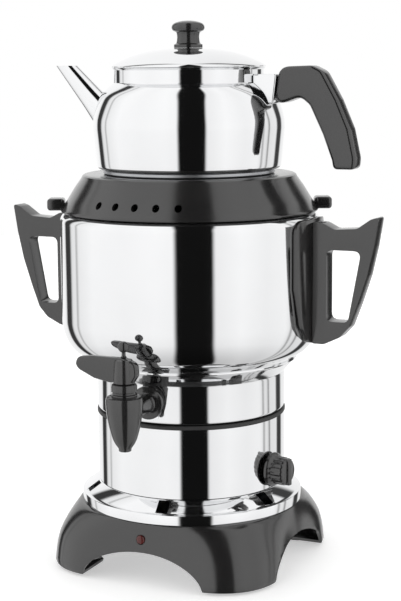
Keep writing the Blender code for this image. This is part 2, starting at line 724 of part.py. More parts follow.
def neck_profile():
    """The taper and the sump, which are welded on where the drum's lower corner ends."""
    weld = Vector(drum_corner()[-1])
    end = Vector((COLUMN_RADIUS, TAPER_BOTTOM))
    start = weld + (end - weld).normalized() * SEAT_GAP
    profile = [tuple(start)]
    for share in BEAD_HEIGHT_SHARES:
        height = end.y + (start.y - end.y) * share
        radius = end.x + (start.x - end.x) * share
        profile += [(radius + BEAD_STEP, height + BEAD_STEP), (radius, height)]
    profile += [(COLUMN_RADIUS, TAPER_BOTTOM), (COLUMN_RADIUS, SUMP_BOTTOM + SUMP_CORNER)]
    profile += [(COLUMN_RADIUS - SUMP_CORNER, SUMP_BOTTOM), (HEATER_OPENING_RADIUS, SUMP_BOTTOM)]
    return profile


def make_boiler():
    drum = turned("boiler_shell", drum_profile(), STEEL, wall=SHEET_WALL)
    neck = turned("boiler_neck", neck_profile(), STEEL, wall=SHEET_WALL)
    inner_wall = COLUMN_RADIUS - SHEET_WALL
    hole = cylinder("tap_hole_cutter", TAP_SHANK_RADIUS + SEAT_GAP, inner_wall - CUT_OVERRUN,
                    COLUMN_RADIUS + CUT_OVERRUN, None, at=(0, 0, TAP_HEIGHT), turn=TO_FRONT)
    cut(neck, hole)
    smooth(drum)
    smooth(neck)
    return drum


# Heating element, flange, gasket, cut-out and the tie rod that closes the base

def make_heater():
    leg_y = HEATER_LEG_DEPTH
    angle = math.asin(HEATER_LEG_OFFSET / HEATER_LOOP_RADIUS)
    path = [(-HEATER_LEG_OFFSET, leg_y, FLANGE_BOTTOM - HEATER_TAIL),
            (-HEATER_LEG_OFFSET, leg_y, HEATER_LOOP_HEIGHT - HEATER_TUBE_RADIUS * 2),
            (-HEATER_LEG_OFFSET, leg_y + HEATER_TUBE_RADIUS, HEATER_LOOP_HEIGHT)]
    for step in range(HEATER_LOOP_POINTS):
        turn = math.pi / 2 + angle + (math.tau - 2 * angle) * step / (HEATER_LOOP_POINTS - 1)
        path.append((HEATER_LOOP_RADIUS * math.cos(turn), HEATER_LOOP_RADIUS * math.sin(turn),
                     HEATER_LOOP_HEIGHT))
    path += [(-x, y, z) for x, y, z in reversed(path[:3])]
    curve = bpy.data.curves.new("heating_element", "CURVE")
    curve.dimensions = "3D"
    curve.bevel_depth = HEATER_TUBE_RADIUS
    curve.bevel_resolution = 2
    curve.use_fill_caps = True
    spline = curve.splines.new("POLY")
    spline.points.add(len(path) - 1)
    for point, spot in zip(spline.points, path):
        point.co = (*spot, 1)
    place(as_mesh("heating_element", curve), PLATED)

    washer("heater_gasket", HEATER_FLANGE_RADIUS, HEATER_OPENING_RADIUS, GASKET_TOP - HEATER_GASKET_THICKNESS,
           GASKET_TOP, SILICONE)
    flange = cylinder("heater_flange", HEATER_FLANGE_RADIUS, FLANGE_BOTTOM, FLANGE_TOP, BRASS)
    for name, side in (("left", -1), ("right", 1)):
        hole = cylinder("heater_leg_cutter_" + name, HEATER_TUBE_RADIUS + SEAT_GAP,
                        FLANGE_BOTTOM - CUT_OVERRUN, FLANGE_TOP + CUT_OVERRUN, None, steps=TINY_STEPS,
                        at=(side * HEATER_LEG_OFFSET, leg_y, 0))
        cut(flange, hole)
    cutout_top = FLANGE_BOTTOM - SEAT_GAP
    cylinder("thermal_cutout", CUTOUT_RADIUS, cutout_top - CUTOUT_HEIGHT, cutout_top, PORCELAIN,
             at=(0, CUTOUT_OFFSET, 0))
    nut_top = PLATE_BOTTOM - SEAT_GAP
    cylinder("tie_rod", TIE_ROD_RADIUS, nut_top - TIE_NUT_HEIGHT - TIE_ROD_TAIL, cutout_top, PLATED,
             steps=TINY_STEPS)
    nut = cylinder("tie_rod_nut", TIE_NUT_RADIUS, nut_top - TIE_NUT_HEIGHT, nut_top, BRASS, steps=6)
    cut(nut, cylinder("tie_nut_cutter", TIE_ROD_RADIUS + SEAT_GAP, nut_top - TIE_NUT_HEIGHT - CUT_OVERRUN,
                      nut_top + CUT_OVERRUN, None, steps=TINY_STEPS))


# Thermostat, its bracket, spindle and knob

def make_thermostat(housing):
    center_x = THERMOSTAT_FRONT - THERMOSTAT_LENGTH / 2
    bottom = THERMOSTAT_HEIGHT - THERMOSTAT_TALL / 2
    body = block("thermostat_body", (THERMOSTAT_LENGTH, THERMOSTAT_WIDTH, THERMOSTAT_TALL),
                 (center_x, 0, THERMOSTAT_HEIGHT), PORCELAIN, turn=(0, 0, THERMOSTAT_TURN))
    bore_end = THERMOSTAT_FRONT - THERMOSTAT_BORE_DEPTH
    cut(body, cylinder("thermostat_bore_cutter", SPINDLE_RADIUS + SEAT_GAP, bore_end,
                       THERMOSTAT_FRONT + CUT_OVERRUN, None, at=(0, 0, THERMOSTAT_HEIGHT), turn=TO_DIAL))
    back = THERMOSTAT_FRONT - THERMOSTAT_LENGTH
    front = THERMOSTAT_FRONT
    foot = PLATE_TOP + SEAT_GAP
    shelf = bottom - SEAT_GAP
    outline = [
        (back, foot), (front, foot), (front, foot + SHEET_WALL), (back + SHEET_WALL, foot + SHEET_WALL),
        (back + SHEET_WALL, shelf - SHEET_WALL), (front, shelf - SHEET_WALL), (front, shelf), (back, shelf)]
    flat_piece("thermostat_bracket", [outline], BRACKET_WIDTH, 0, PLATED, turn=(0, 0, THERMOSTAT_TURN))

    inner_wall = COLUMN_RADIUS - SHEET_WALL
    cut(housing, cylinder("spindle_hole_cutter", SPINDLE_HOLE_RADIUS, inner_wall - CUT_OVERRUN,
                          COLUMN_RADIUS + CUT_OVERRUN, None, at=(0, 0, THERMOSTAT_HEIGHT), turn=TO_DIAL))
    where = {"parent": KNOB_AXIS, "at": (0, 0, THERMOSTAT_HEIGHT), "turn": TO_DIAL}
    cylinder("thermostat_spindle", SPINDLE_RADIUS, bore_end + SEAT_GAP, SPINDLE_END, PLATED,
             steps=TINY_STEPS, **where)
    grip_end = KNOB_FACE - (KNOB_RADIUS - KNOB_GRIP_RADIUS)
    knob = turned("thermostat_knob", [
        (0, KNOB_FACE), (KNOB_GRIP_RADIUS - KNOB_POINTER_PROUD, KNOB_FACE), (KNOB_GRIP_RADIUS, grip_end),
        (KNOB_GRIP_RADIUS, KNOB_BACK + KNOB_FLANGE), (KNOB_RADIUS, KNOB_BACK + KNOB_FLANGE / 2),
        (KNOB_RADIUS, KNOB_BACK), (0, KNOB_BACK)], BAKELITE, steps=SMALL_STEPS, **where)
    pointer_size = (KNOB_GRIP_RADIUS * 2, KNOB_POINTER_WIDTH, KNOB_FACE - KNOB_BACK - KNOB_FLANGE)
    pointer = block("pointer_cutter", pointer_size,
                    (0, 0, (KNOB_FACE + KNOB_BACK + KNOB_FLANGE) / 2 + KNOB_POINTER_PROUD), None, **where)
    cut(knob, pointer, operation="UNION")
    cut(knob, cylinder("knob_bore_cutter", SPINDLE_RADIUS + SEAT_GAP, KNOB_BACK - CUT_OVERRUN,
                       SPINDLE_END + SEAT_GAP, None, steps=TINY_STEPS, **where))
    smooth(knob)


# Terminal block and power inlet

def make_electrics(housing):
    x, y = TERMINAL_PLACE
    bottom = PLATE_TOP + SEAT_GAP
    terminals = block("terminal_block", (TERMINAL_WIDTH, TERMINAL_LENGTH, TERMINAL_TALL),
                      (x, y, bottom + TERMINAL_TALL / 2), PORCELAIN)
    pitch = TERMINAL_LENGTH / TERMINAL_COUNT
    for number in range(TERMINAL_COUNT):
        along = y + (number - (TERMINAL_COUNT - 1) / 2) * pitch
        well = cylinder("terminal_cutter_%d" % (number + 1), TERMINAL_SCREW_RADIUS,
                        bottom + TERMINAL_TALL - TERMINAL_SCREW_DEPTH, bottom + TERMINAL_TALL + CUT_OVERRUN,
                        None, steps=TINY_STEPS, at=(x, along, 0))
        cut(terminals, well)

    spot = {"at": (0, 0, INLET_HEIGHT), "turn": TO_BACK}
    border = INLET_FLANGE_BORDER * 2
    inlet = block("power_inlet", (INLET_BODY_WIDTH + border, INLET_BODY_TALL + border, INLET_FLANGE_DEPTH),
                  (0, 0, INLET_FRONT - INLET_FLANGE_DEPTH / 2), BAKELITE, rounding=SHEET_WALL, **spot)
    column = cylinder("column_clearance_cutter", COLUMN_RADIUS + SEAT_GAP, 0, HOUSING_TOP, None,
                      steps=LARGE_STEPS)
    inner = INLET_FRONT - INLET_DEPTH
    body = block("inlet_body_cutter", (INLET_BODY_WIDTH, INLET_BODY_TALL, INLET_DEPTH - SHEET_WALL),
                 (0, 0, inner + (INLET_DEPTH - SHEET_WALL) / 2), None, **spot)
    socket_floor = INLET_FRONT - INLET_SOCKET_DEPTH
    socket_run = INLET_SOCKET_DEPTH + CUT_OVERRUN
    socket = block("inlet_socket_cutter", (INLET_SOCKET_WIDTH, INLET_SOCKET_TALL, socket_run),
                   (0, 0, socket_floor + socket_run / 2), None, **spot)
    cut(inlet, column)
    cut(inlet, body, operation="UNION")
    cut(inlet, socket)
    for number in (-1, 0, 1):
        length = INLET_PIN_LENGTH + CUT_OVERRUN
        pin = block("inlet_pin_cutter_%d" % (number + 2), (INLET_PIN_WIDTH, INLET_PIN_TALL, length),
                    (number * INLET_PIN_PITCH, 0, socket_floor - CUT_OVERRUN + length / 2), None, **spot)
        cut(inlet, pin, operation="UNION")
    hole_size = (INLET_BODY_WIDTH + SEAT_GAP * 2, INLET_BODY_TALL + SEAT_GAP * 2, INLET_DEPTH)
    wall_hole = block("inlet_hole_cutter", hole_size, (0, 0, COLUMN_RADIUS), None, **spot)
    cut(housing, wall_hole)


# Tap

def make_tap():
    where = {"at": (0, -TAP_REACH, 0)}
    spout = (TAP_BODY_RADIUS - TAP_TIP_RADIUS, TAP_BODY_TOP - TAP_TIP)
    body = turned("tap_body", [
        (0, TAP_BODY_TOP), (TAP_BODY_RADIUS - BONNET_CHAMFER, TAP_BODY_TOP),
        (TAP_BODY_RADIUS, TAP_BODY_TOP - BONNET_CHAMFER),
        *spread(TAP_SPOUT_SHARES, (TAP_TIP_RADIUS, TAP_TIP), spout), (TAP_TIP_RADIUS, TAP_TIP), (0, TAP_TIP)],
        BAKELITE, steps=SMALL_STEPS, **where)
    flange_back = COLUMN_RADIUS + TAP_GASKET_THICKNESS + SEAT_GAP
    flange_front = flange_back + TAP_FLANGE_THICKNESS
    front = {"at": (0, 0, TAP_HEIGHT), "turn": TO_FRONT}
    shank = turned("tap_shank_cutter", [
        (0, TAP_REACH), (TAP_SHANK_RADIUS, TAP_REACH), (TAP_SHANK_RADIUS, flange_front),
        (TAP_FLANGE_RADIUS, flange_front - BONNET_CHAMFER), (TAP_FLANGE_RADIUS, flange_back),
        (TAP_SHANK_RADIUS, flange_back), (TAP_SHANK_RADIUS, TAP_SHANK_INNER_END), (0, TAP_SHANK_INNER_END)],
        None, steps=SMALL_STEPS, **front)
    cut(body, shank, operation="UNION")
    bore = PLUG_RADIUS + SEAT_GAP
    plug_bore = turned("plug_bore_cutter", [
        (0, TAP_BODY_TOP + CUT_OVERRUN), (bore, TAP_BODY_TOP + CUT_OVERRUN), (bore, PLUG_BOTTOM - SEAT_GAP),
        (OUTLET_BORE_RADIUS, PLUG_BOTTOM - SEAT_GAP), (OUTLET_BORE_RADIUS, TAP_TIP - CUT_OVERRUN),
        (0, TAP_TIP - CUT_OVERRUN)], None, steps=SMALL_STEPS, **where)
    shank_bore = cylinder("shank_bore_cutter", TAP_SHANK_BORE_RADIUS, TAP_SHANK_INNER_END - CUT_OVERRUN,
                          TAP_REACH, None, steps=TINY_STEPS, **front)
    cut(body, plug_bore, shank_bore)
    smooth(body)

    hole = TAP_SHANK_RADIUS + SEAT_GAP
    gasket = washer("tap_gasket", TAP_FLANGE_RADIUS - SEAM_PROUD, hole, COLUMN_RADIUS - TAP_GASKET_THICKNESS,
                    flange_back - SEAT_GAP, SILICONE, **front)
    sump_top = TAPER_BOTTOM + TAP_SHANK_RADIUS
    sump = cylinder("sump_clearance_cutter", COLUMN_RADIUS + SEAT_GAP, SUMP_BOTTOM, sump_top, None,
                    steps=LARGE_STEPS)
    cut(gasket, sump)
    inner_wall = COLUMN_RADIUS - SHEET_WALL - SEAT_GAP
    inner_face = inner_wall - TAP_INNER_GASKET_THICKNESS
    inner_gasket = washer("tap_inner_gasket", TAP_INNER_GASKET_RADIUS, hole, inner_face, COLUMN_RADIUS,
                          SILICONE, **front)
    inside = cylinder("sump_inside_cutter", inner_wall, SUMP_BOTTOM, sump_top, None, steps=LARGE_STEPS)
    cut(inner_gasket, inside, operation="INTERSECT")
    nut_top = inner_face - SEAT_GAP
    nut = cylinder("tap_nut", TAP_NUT_RADIUS, nut_top - TAP_NUT_THICKNESS, nut_top, BRASS, steps=6, **front)
    cut(nut, cylinder("tap_nut_cutter", hole, nut_top - TAP_NUT_THICKNESS - CUT_OVERRUN,
                      nut_top + CUT_OVERRUN, None, **front))

    bonnet_bottom = TAP_BODY_TOP + SEAT_GAP
    bore = TAP_SPINDLE_RADIUS + SEAT_GAP
    turned("tap_bonnet", [
        (bore, BONNET_TOP), (BONNET_RADIUS - BONNET_CHAMFER, BONNET_TOP),
        (BONNET_RADIUS, BONNET_TOP - BONNET_CHAMFER), (BONNET_RADIUS, bonnet_bottom), (bore, bonnet_bottom)],
        BAKELITE, steps=SMALL_STEPS, ring=True, **where)

    moving = {"parent": TAP_AXIS, "at": (0, -TAP_REACH, 0)}
    spindle_top = LEVER_BOTTOM + TAP_SPINDLE_ENTRY
    plug = turned("tap_plug", [
        (0, spindle_top), (TAP_SPINDLE_RADIUS, spindle_top), (TAP_SPINDLE_RADIUS, TAP_BODY_TOP),
        (PLUG_RADIUS, TAP_BODY_TOP), (PLUG_RADIUS, PLUG_BOTTOM), (0, PLUG_BOTTOM)],
        BRASS, steps=SMALL_STEPS, **moving)
    drop = cylinder("plug_drop_cutter", OUTLET_BORE_RADIUS, PLUG_BOTTOM - CUT_OVERRUN, TAP_HEIGHT, None,
                    steps=TINY_STEPS, **moving)
    port = cylinder("plug_port_cutter", PLUG_PORT_RADIUS, -OUTLET_BORE_RADIUS / 2, PLUG_RADIUS + CUT_OVERRUN,
                    None, steps=TINY_STEPS, parent=TAP_AXIS, at=(0, -TAP_REACH, TAP_HEIGHT), turn=TO_SIDE)
    cut(plug, drop, port)
    smooth(plug)

    wing = (LEVER_TIP_REACH, LEVER_TOP - LEVER_BOTTOM)
    outline = rounded(spread(LEVER_OUTLINE_SHARES, (0, LEVER_BOTTOM), wing), LEVER_CORNER_RADIUS)
    lever = flat_piece("tap_lever", [outline], LEVER_THICKNESS, LEVER_ROUNDING, BAKELITE, **moving)
    hub = cylinder("lever_hub_cutter", LEVER_HUB_RADIUS, LEVER_BOTTOM, LEVER_TOP - LEVER_ROUNDING, None,
                   top_radius=LEVER_HUB_TOP_RADIUS, **moving)
    socket = cylinder("lever_socket_cutter", bore, LEVER_BOTTOM - CUT_OVERRUN, spindle_top + SEAT_GAP, None,
                      steps=SMALL_STEPS, **moving)
    cut(lever, hub, operation="UNION")
    cut(lever, socket)
    smooth(lever)
    ball_join = math.degrees(math.asin(FINIAL_STEM_RADIUS / FINIAL_BALL_RADIUS))
    ball = arc((0, FINIAL_BALL_HEIGHT), (FINIAL_BALL_RADIUS, FINIAL_BALL_RADIUS), -90, 90 - ball_join, 8)
    turned("tap_finial", ball + [(FINIAL_STEM_RADIUS, LEVER_TOP + SEAT_GAP), (0, LEVER_TOP + SEAT_GAP)],
           BAKELITE, steps=TINY_STEPS, **moving)


# Side handles

def make_side_handles(boiler):
    outward = [(radius + SEAT_GAP, height) for radius, height in drum_profile()]
    drum = turned("drum_clearance_cutter", [(0, DRUM_SHOULDER_TOP)] + outward + [(0, outward[-1][1])], None)
    around = cylinder("saddle_cutter", SADDLE_RADIUS, SADDLE_BOTTOM - SADDLE_THICKNESS, HANDLE_TOP, None,
                      steps=LARGE_STEPS * 2)
    fit = cylinder("handle_seat_cutter", SADDLE_RADIUS + SEAT_GAP, SADDLE_BOTTOM - SADDLE_THICKNESS * 2,
                   HANDLE_TOP + CUT_OVERRUN, None, steps=LARGE_STEPS * 2)
    half = spread(SADDLE_OUTLINE_SHARES, (0, SADDLE_BOTTOM), (SADDLE_HALF_WIDTH, SADDLE_TOP - SADDLE_BOTTOM))
    shield = rounded(half + [(-across, up) for across, up in reversed(half)], SADDLE_CORNER_RADIUS)
    size = (HANDLE_LENGTH, HANDLE_TOP - HANDLE_BOTTOM)
    corner = (SADDLE_RADIUS, HANDLE_BOTTOM)
    outer = rounded(spread(HANDLE_OUTLINE_SHARES, corner, size), HANDLE_CORNER_RADIUS)
    opening = rounded(spread(HANDLE_OPENING_SHARES, corner, size), HANDLE_CORNER_RADIUS)
    for name, turn, aim in (("right", 0, math.radians(90)), ("left", math.radians(180), math.radians(-90))):
        depth = SADDLE_RADIUS - DRUM_RADIUS + DRUM_CORNER_WIDTH
        saddle = flat_piece(name + "_handle_saddle", [shield], depth * 2, 0, BAKELITE,
                            at=(SADDLE_RADIUS * math.cos(turn), 0, 0), turn=(0, 0, turn + math.radians(90)))
        cut(saddle, around, operation="INTERSECT")
        cut(saddle, drum)
        smooth(saddle)
        handle = flat_piece(name + "_handle", [outer, opening], HANDLE_THICKNESS, HANDLE_ROUNDING,
                            BAKELITE, turn=(0, 0, turn))
        cut(handle, fit)
        for number, share in enumerate(HANDLE_SCREW_SHARES, start=1):
            height = HANDLE_BOTTOM + (HANDLE_TOP - HANDLE_BOTTOM) * share
            inner = drum_radius_at(height - HANDLE_SCREW_HEAD_RADIUS) - SHEET_WALL - SEAT_GAP * 3
            where = {"at": (0, 0, height), "turn": (0, aim, 0)}
            tip = SADDLE_RADIUS + HANDLE_SCREW_ENTRY
            turned("%s_handle_screw_%d" % (name, number), [
                (0, tip), (HANDLE_SCREW_RADIUS, tip), (HANDLE_SCREW_RADIUS, inner),
                (HANDLE_SCREW_HEAD_RADIUS, inner),
                (HANDLE_SCREW_HEAD_RADIUS, inner - HANDLE_SCREW_HEAD_HEIGHT),
                (0, inner - HANDLE_SCREW_HEAD_HEIGHT)], PLATED, steps=TINY_STEPS, **where)
            hole = cylinder("%s_screw_cutter_%d" % (name, number), HANDLE_SCREW_RADIUS + SEAT_GAP,
                            inner - HANDLE_SCREW_HEAD_HEIGHT, tip + SEAT_GAP, None, steps=TINY_STEPS, **where)
            cut(boiler, hole)
            cut(saddle, hole)
            cut(handle, hole)
        smooth(handle)


def drum_radius_at(height):
    """The drum's outer radius at a height between its lower corner and its shoulder."""
    if height >= DRUM_CORNER_TOP:
        return DRUM_RADIUS
    drop = (DRUM_CORNER_TOP - height) / DRUM_CORNER_DEPTH
    return DRUM_RADIUS - DRUM_CORNER_WIDTH * (1 - math.sqrt(1 - drop ** 2))


# Boiler lid

def make_boiler_lid():
    spigot = MOUTH_RADIUS - LID_SPIGOT_CLEARANCE
    flange_top = LID_SEAT + LID_WALL
    lid = turned("boiler_lid", [
        (LID_STEAM_RADIUS, LID_TOP), (LID_TOP_RADIUS - LID_TOP_EDGE, LID_TOP),
        (LID_TOP_RADIUS, LID_TOP - LID_TOP_EDGE),
        (LID_BOTTOM_RADIUS - LID_BOTTOM_EDGE / 2, LID_SEAT + LID_BOTTOM_EDGE),
        (LID_BOTTOM_RADIUS, LID_SEAT + LID_BOTTOM_EDGE / 2),
        (LID_BOTTOM_RADIUS, LID_SEAT), (spigot, LID_SEAT), (spigot, LID_SEAT - LID_SPIGOT_DEPTH),
        (spigot - LID_WALL, LID_SEAT - LID_SPIGOT_DEPTH), (spigot - LID_WALL, flange_top),
        (LID_BOTTOM_RADIUS - LID_BOTTOM_EDGE - LID_WALL, flange_top),
        (LID_TOP_RADIUS - LID_WALL, LID_TOP - LID_WALL),
        (LID_STEAM_RADIUS, LID_TOP - LID_WALL)], BAKELITE, ring=True, parent=LID_SEAT_POINT)
    height = LID_SEAT + LID_HEIGHT * VENT_HEIGHT_SHARE
    for number in range(VENT_COUNT):
        degrees = (number - (VENT_COUNT - 1) / 2) * VENT_PITCH_DEGREES
        hole = cylinder("vent_cutter_%d" % (number + 1), VENT_RADIUS, LID_TOP_RADIUS - LID_WALL * 2,
                        LID_BOTTOM_RADIUS + CUT_OVERRUN, None, steps=TINY_STEPS, parent=LID_SEAT_POINT,
                        at=(0, 0, height), turn=(math.radians(90), 0, math.radians(degrees)))
        cut(lid, hole)
    root = LID_BOTTOM_RADIUS - LID_WALL
    for name, side in (("left", -90), ("right", 90)):
        degrees = EAR_TURN_DEGREES + side
        ear = block("ear_cutter_" + name, (EAR_WIDTH, EAR_REACH - root, EAR_HEIGHT),
                    (0, -(EAR_REACH + root) / 2, LID_SEAT + SEAT_GAP + EAR_HEIGHT / 2), None,
                    rounding=EAR_ROUNDING, parent=LID_SEAT_POINT, turn=(0, 0, math.radians(degrees)))
        cut(lid, ear, operation="UNION")
    smooth(lid)


# Teapot, spout, ferrule and handle

def pot_profile():
    size = (POT_RADIUS - POT_NECK_RADIUS, POT_SHOULDER_HEIGHT)
    shoulder = spread(POT_SHOULDER_SHARES, (POT_NECK_RADIUS, POT_BODY_TOP), size)
    return ([(POT_NECK_RADIUS, POT_RIM), (POT_NECK_RADIUS, POT_NECK_BOTTOM)] + shoulder
            + [(POT_RADIUS, POT_BODY_TOP), (POT_BOTTOM_RADIUS, POT_BOTTOM + POT_BOTTOM_ROUND),
               (POT_BOTTOM_RADIUS - POT_BOTTOM_ROUND, POT_BOTTOM), (0, POT_BOTTOM)])


def pot_radius_at(height):
    """The pot's outer radius at a height on its shoulder, neck or body."""
    rows = pot_profile()
    for (high_radius, high), (low_radius, low) in zip(rows, rows[1:]):
        if low <= height <= high:
            return low_radius + (high_radius - low_radius) * (height - low) / (high - low)
    return POT_RADIUS


def pot_clearance():
    outer = [(radius + SEAT_GAP, height) for radius, height in pot_profile()[:-1]]
    return turned("pot_clearance_cutter", [(0, POT_RIM)] + outer + [(0, POT_BOTTOM)], None,
                  parent=POT_SEAT_POINT)


def make_teapot():
    pot = turned("teapot_shell", pot_profile(), STEEL, wall=POT_WALL, parent=POT_SEAT_POINT)
    for number in range(STRAINER_RING_COUNT + 1):
        angle = math.tau * number / STRAINER_RING_COUNT
        ring = STRAINER_RING_RADIUS if number < STRAINER_RING_COUNT else 0
        hole = cylinder("strainer_cutter_%d" % (number + 1), STRAINER_HOLE_RADIUS, -POT_RADIUS - CUT_OVERRUN,
                        -POT_NECK_RADIUS, None, steps=TINY_STEPS, parent=POT_SEAT_POINT, turn=TO_SIDE,
                        at=(0, ring * math.cos(angle), SPOUT_ROOT_HEIGHT + ring * math.sin(angle)))
        cut(pot, hole)
    smooth(pot)
    cylinder("teapot_base_disc", POT_DISC_RADIUS, POT_DISC_BOTTOM, POT_DISC_BOTTOM + POT_DISC_HEIGHT, PLATED,
             steps=LARGE_STEPS, parent=POT_SEAT_POINT)
    clearance = pot_clearance()
    make_spout(clearance)
    make_grip(clearance)


def make_spout(clearance):
    root = Vector((-POT_RADIUS, 0, SPOUT_ROOT_HEIGHT))
    tip = Vector((-SPOUT_TIP_REACH, 0, SPOUT_TIP_HEIGHT))
    run = tip - root
    lean = math.atan2(run.x, run.z)
    growth = (SPOUT_ROOT_RADIUS - SPOUT_TIP_RADIUS) / run.length
    start = -SPOUT_SINK
    end = run.length + SPOUT_TIP_RADIUS * 2
    where = {"parent": POT_SEAT_POINT, "at": root, "turn": (0, lean, 0)}
    spout = cylinder("teapot_spout", SPOUT_ROOT_RADIUS - growth * start, start, end, STEEL,
                     top_radius=SPOUT_ROOT_RADIUS - growth * end, **where)
    bore_start = start - CUT_OVERRUN
    bore_end = end + CUT_OVERRUN
    bore_root = SPOUT_ROOT_RADIUS - SPOUT_WALL
    bore = cylinder("spout_bore_cutter", bore_root - growth * bore_start, bore_start, bore_end,
                    None, top_radius=bore_root - growth * bore_end, **where)
    reach = SPOUT_TIP_REACH + SPOUT_TIP_RADIUS * 4
    trim = block("spout_trim_cutter", (reach, reach, SPOUT_TIP_RADIUS * 4),
                 (-SPOUT_TIP_REACH, 0, SPOUT_TIP_HEIGHT + SPOUT_TIP_RADIUS * 2), None, parent=POT_SEAT_POINT)
    cut(spout, bore, trim, clearance)
    smooth(spout)


def make_grip(clearance):
    size = (GRIP_LENGTH, GRIP_HEIGHT)
    outline = rounded(spread(GRIP_OUTLINE_SHARES, (GRIP_ROOT, GRIP_BOTTOM), size), GRIP_CORNER_RADIUS)
    grip = flat_piece("teapot_handle", [outline], GRIP_THICKNESS, GRIP_ROUNDING, BAKELITE,
                      parent=POT_SEAT_POINT)
    root_low = GRIP_ROOT + size[0] * GRIP_OUTLINE_SHARES[-1][0]
    root_high = GRIP_ROOT + size[0] * GRIP_OUTLINE_SHARES[0][0]
    low = GRIP_BOTTOM + size[1] * GRIP_OUTLINE_SHARES[-1][1]
    high = GRIP_BOTTOM + size[1] * GRIP_OUTLINE_SHARES[0][1]
    slope = (root_high - root_low) / (high - low)
    clear = SEAT_GAP * 2
    ferrule = flat_piece("teapot_ferrule", [[
        (GRIP_ROOT - FERRULE_SINK, FERRULE_BOTTOM),
        (root_low - clear + slope * (FERRULE_BOTTOM - low), FERRULE_BOTTOM),
        (root_low - clear + slope * (FERRULE_TOP - low), FERRULE_TOP),
        (GRIP_ROOT - FERRULE_SINK, FERRULE_TOP)]], FERRULE_WIDTH, 0, STEEL, parent=POT_SEAT_POINT)
    cut(ferrule, clearance)
    where = {"parent": POT_SEAT_POINT, "at": (0, 0, GRIP_STUD_LEVEL), "turn": TO_SIDE}
    stud_start = pot_radius_at(GRIP_STUD_LEVEL - GRIP_STUD_RADIUS) + GRIP_STUD_STANDOFF
    stud_end = stud_start + GRIP_STUD_LENGTH
    cylinder("teapot_handle_stud", GRIP_STUD_RADIUS, stud_start, stud_end, PLATED, steps=TINY_STEPS, **where)
    hole = cylinder("grip_stud_cutter", GRIP_STUD_RADIUS + SEAT_GAP, stud_start - SEAT_GAP,
                    stud_end + SEAT_GAP, None, steps=TINY_STEPS, **where)
    cut(ferrule, hole)
    cut(grip, hole)
    smooth(grip)


# Teapot lid, its knob and screw

def make_cover():
    hole = COVER_SCREW_RADIUS + SEAT_GAP
    rim_top = COVER_SEAT + COVER_RIM_THICKNESS
    dome = (COVER_RIM_RADIUS, COVER_TOP - rim_top)
    outer = spread(COVER_DOME_SHARES, (0, rim_top), dome)
    spigot = POT_NECK_RADIUS - POT_WALL - COVER_SPIGOT_CLEARANCE
    inner = [(radius - COVER_WALL, height - COVER_WALL) for radius, height in reversed(outer[:-2])]
    turned("teapot_lid", [(hole, COVER_TOP)] + outer + [
        (COVER_RIM_RADIUS, rim_top), (COVER_RIM_RADIUS, COVER_SEAT), (spigot - COVER_WALL, COVER_SEAT),
        (spigot - COVER_WALL, COVER_SEAT + COVER_WALL)] + inner + [(hole, COVER_TOP - COVER_WALL)],
        STEEL, ring=True, parent=COVER_SEAT_POINT)
    washer("teapot_lid_ring", spigot, spigot - COVER_WALL, COVER_SEAT - COVER_SPIGOT_DEPTH,
           COVER_SEAT - SEAT_GAP, STEEL, steps=LARGE_STEPS, parent=COVER_SEAT_POINT)
    foot = PULL_SEAT + PULL_HEIGHT * PULL_FOOT_SHARE
    disc = spread(PULL_PROFILE_SHARES, (0, PULL_SEAT), (PULL_DISC_RADIUS, PULL_HEIGHT))
    bore_top = PULL_SEAT + COVER_SCREW_ENTRY + SEAT_GAP
    turned("teapot_lid_knob", [(0, PULL_SEAT + PULL_HEIGHT)] + disc + [
        (PULL_STEM_RADIUS, PULL_SEAT + PULL_HEIGHT * PULL_STEM_TOP_SHARE),
        (PULL_STEM_RADIUS * PULL_WAIST_SHARE, PULL_SEAT + PULL_HEIGHT * PULL_WAIST_HEIGHT_SHARE),
        (PULL_STEM_RADIUS, PULL_SEAT + PULL_HEIGHT * PULL_STEM_BOTTOM_SHARE),
        (PULL_FOOT_RADIUS, foot), (PULL_FOOT_RADIUS, PULL_SEAT), (hole, PULL_SEAT), (hole, bore_top),
        (0, bore_top)],
        BAKELITE, steps=SMALL_STEPS, parent=COVER_SEAT_POINT)
    head_top = COVER_TOP - COVER_WALL - SEAT_GAP
    tip = PULL_SEAT + COVER_SCREW_ENTRY
    turned("teapot_lid_screw", [
        (0, tip), (COVER_SCREW_RADIUS, tip), (COVER_SCREW_RADIUS, head_top),
        (COVER_SCREW_HEAD_RADIUS, head_top), (COVER_SCREW_HEAD_RADIUS, head_top - COVER_SCREW_HEAD_HEIGHT),
        (0, head_top - COVER_SCREW_HEAD_HEIGHT)],
        PLATED, steps=TINY_STEPS, parent=COVER_SEAT_POINT)


BASE = make_base()
make_pilot_lamp(BASE)
HOUSING = make_column()
BOILER = make_boiler()
make_heater()
make_thermostat(HOUSING)
make_electrics(HOUSING)
make_tap()
make_side_handles(BOILER)
make_boiler_lid()
make_teapot()
make_cover()
bpy.context.view_layer.update()
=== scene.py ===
"""A two-tier electric samovar in polished steel and glossy black bakelite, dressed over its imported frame."""
import math

import bmesh
import bpy
from mathutils import Matrix, Vector


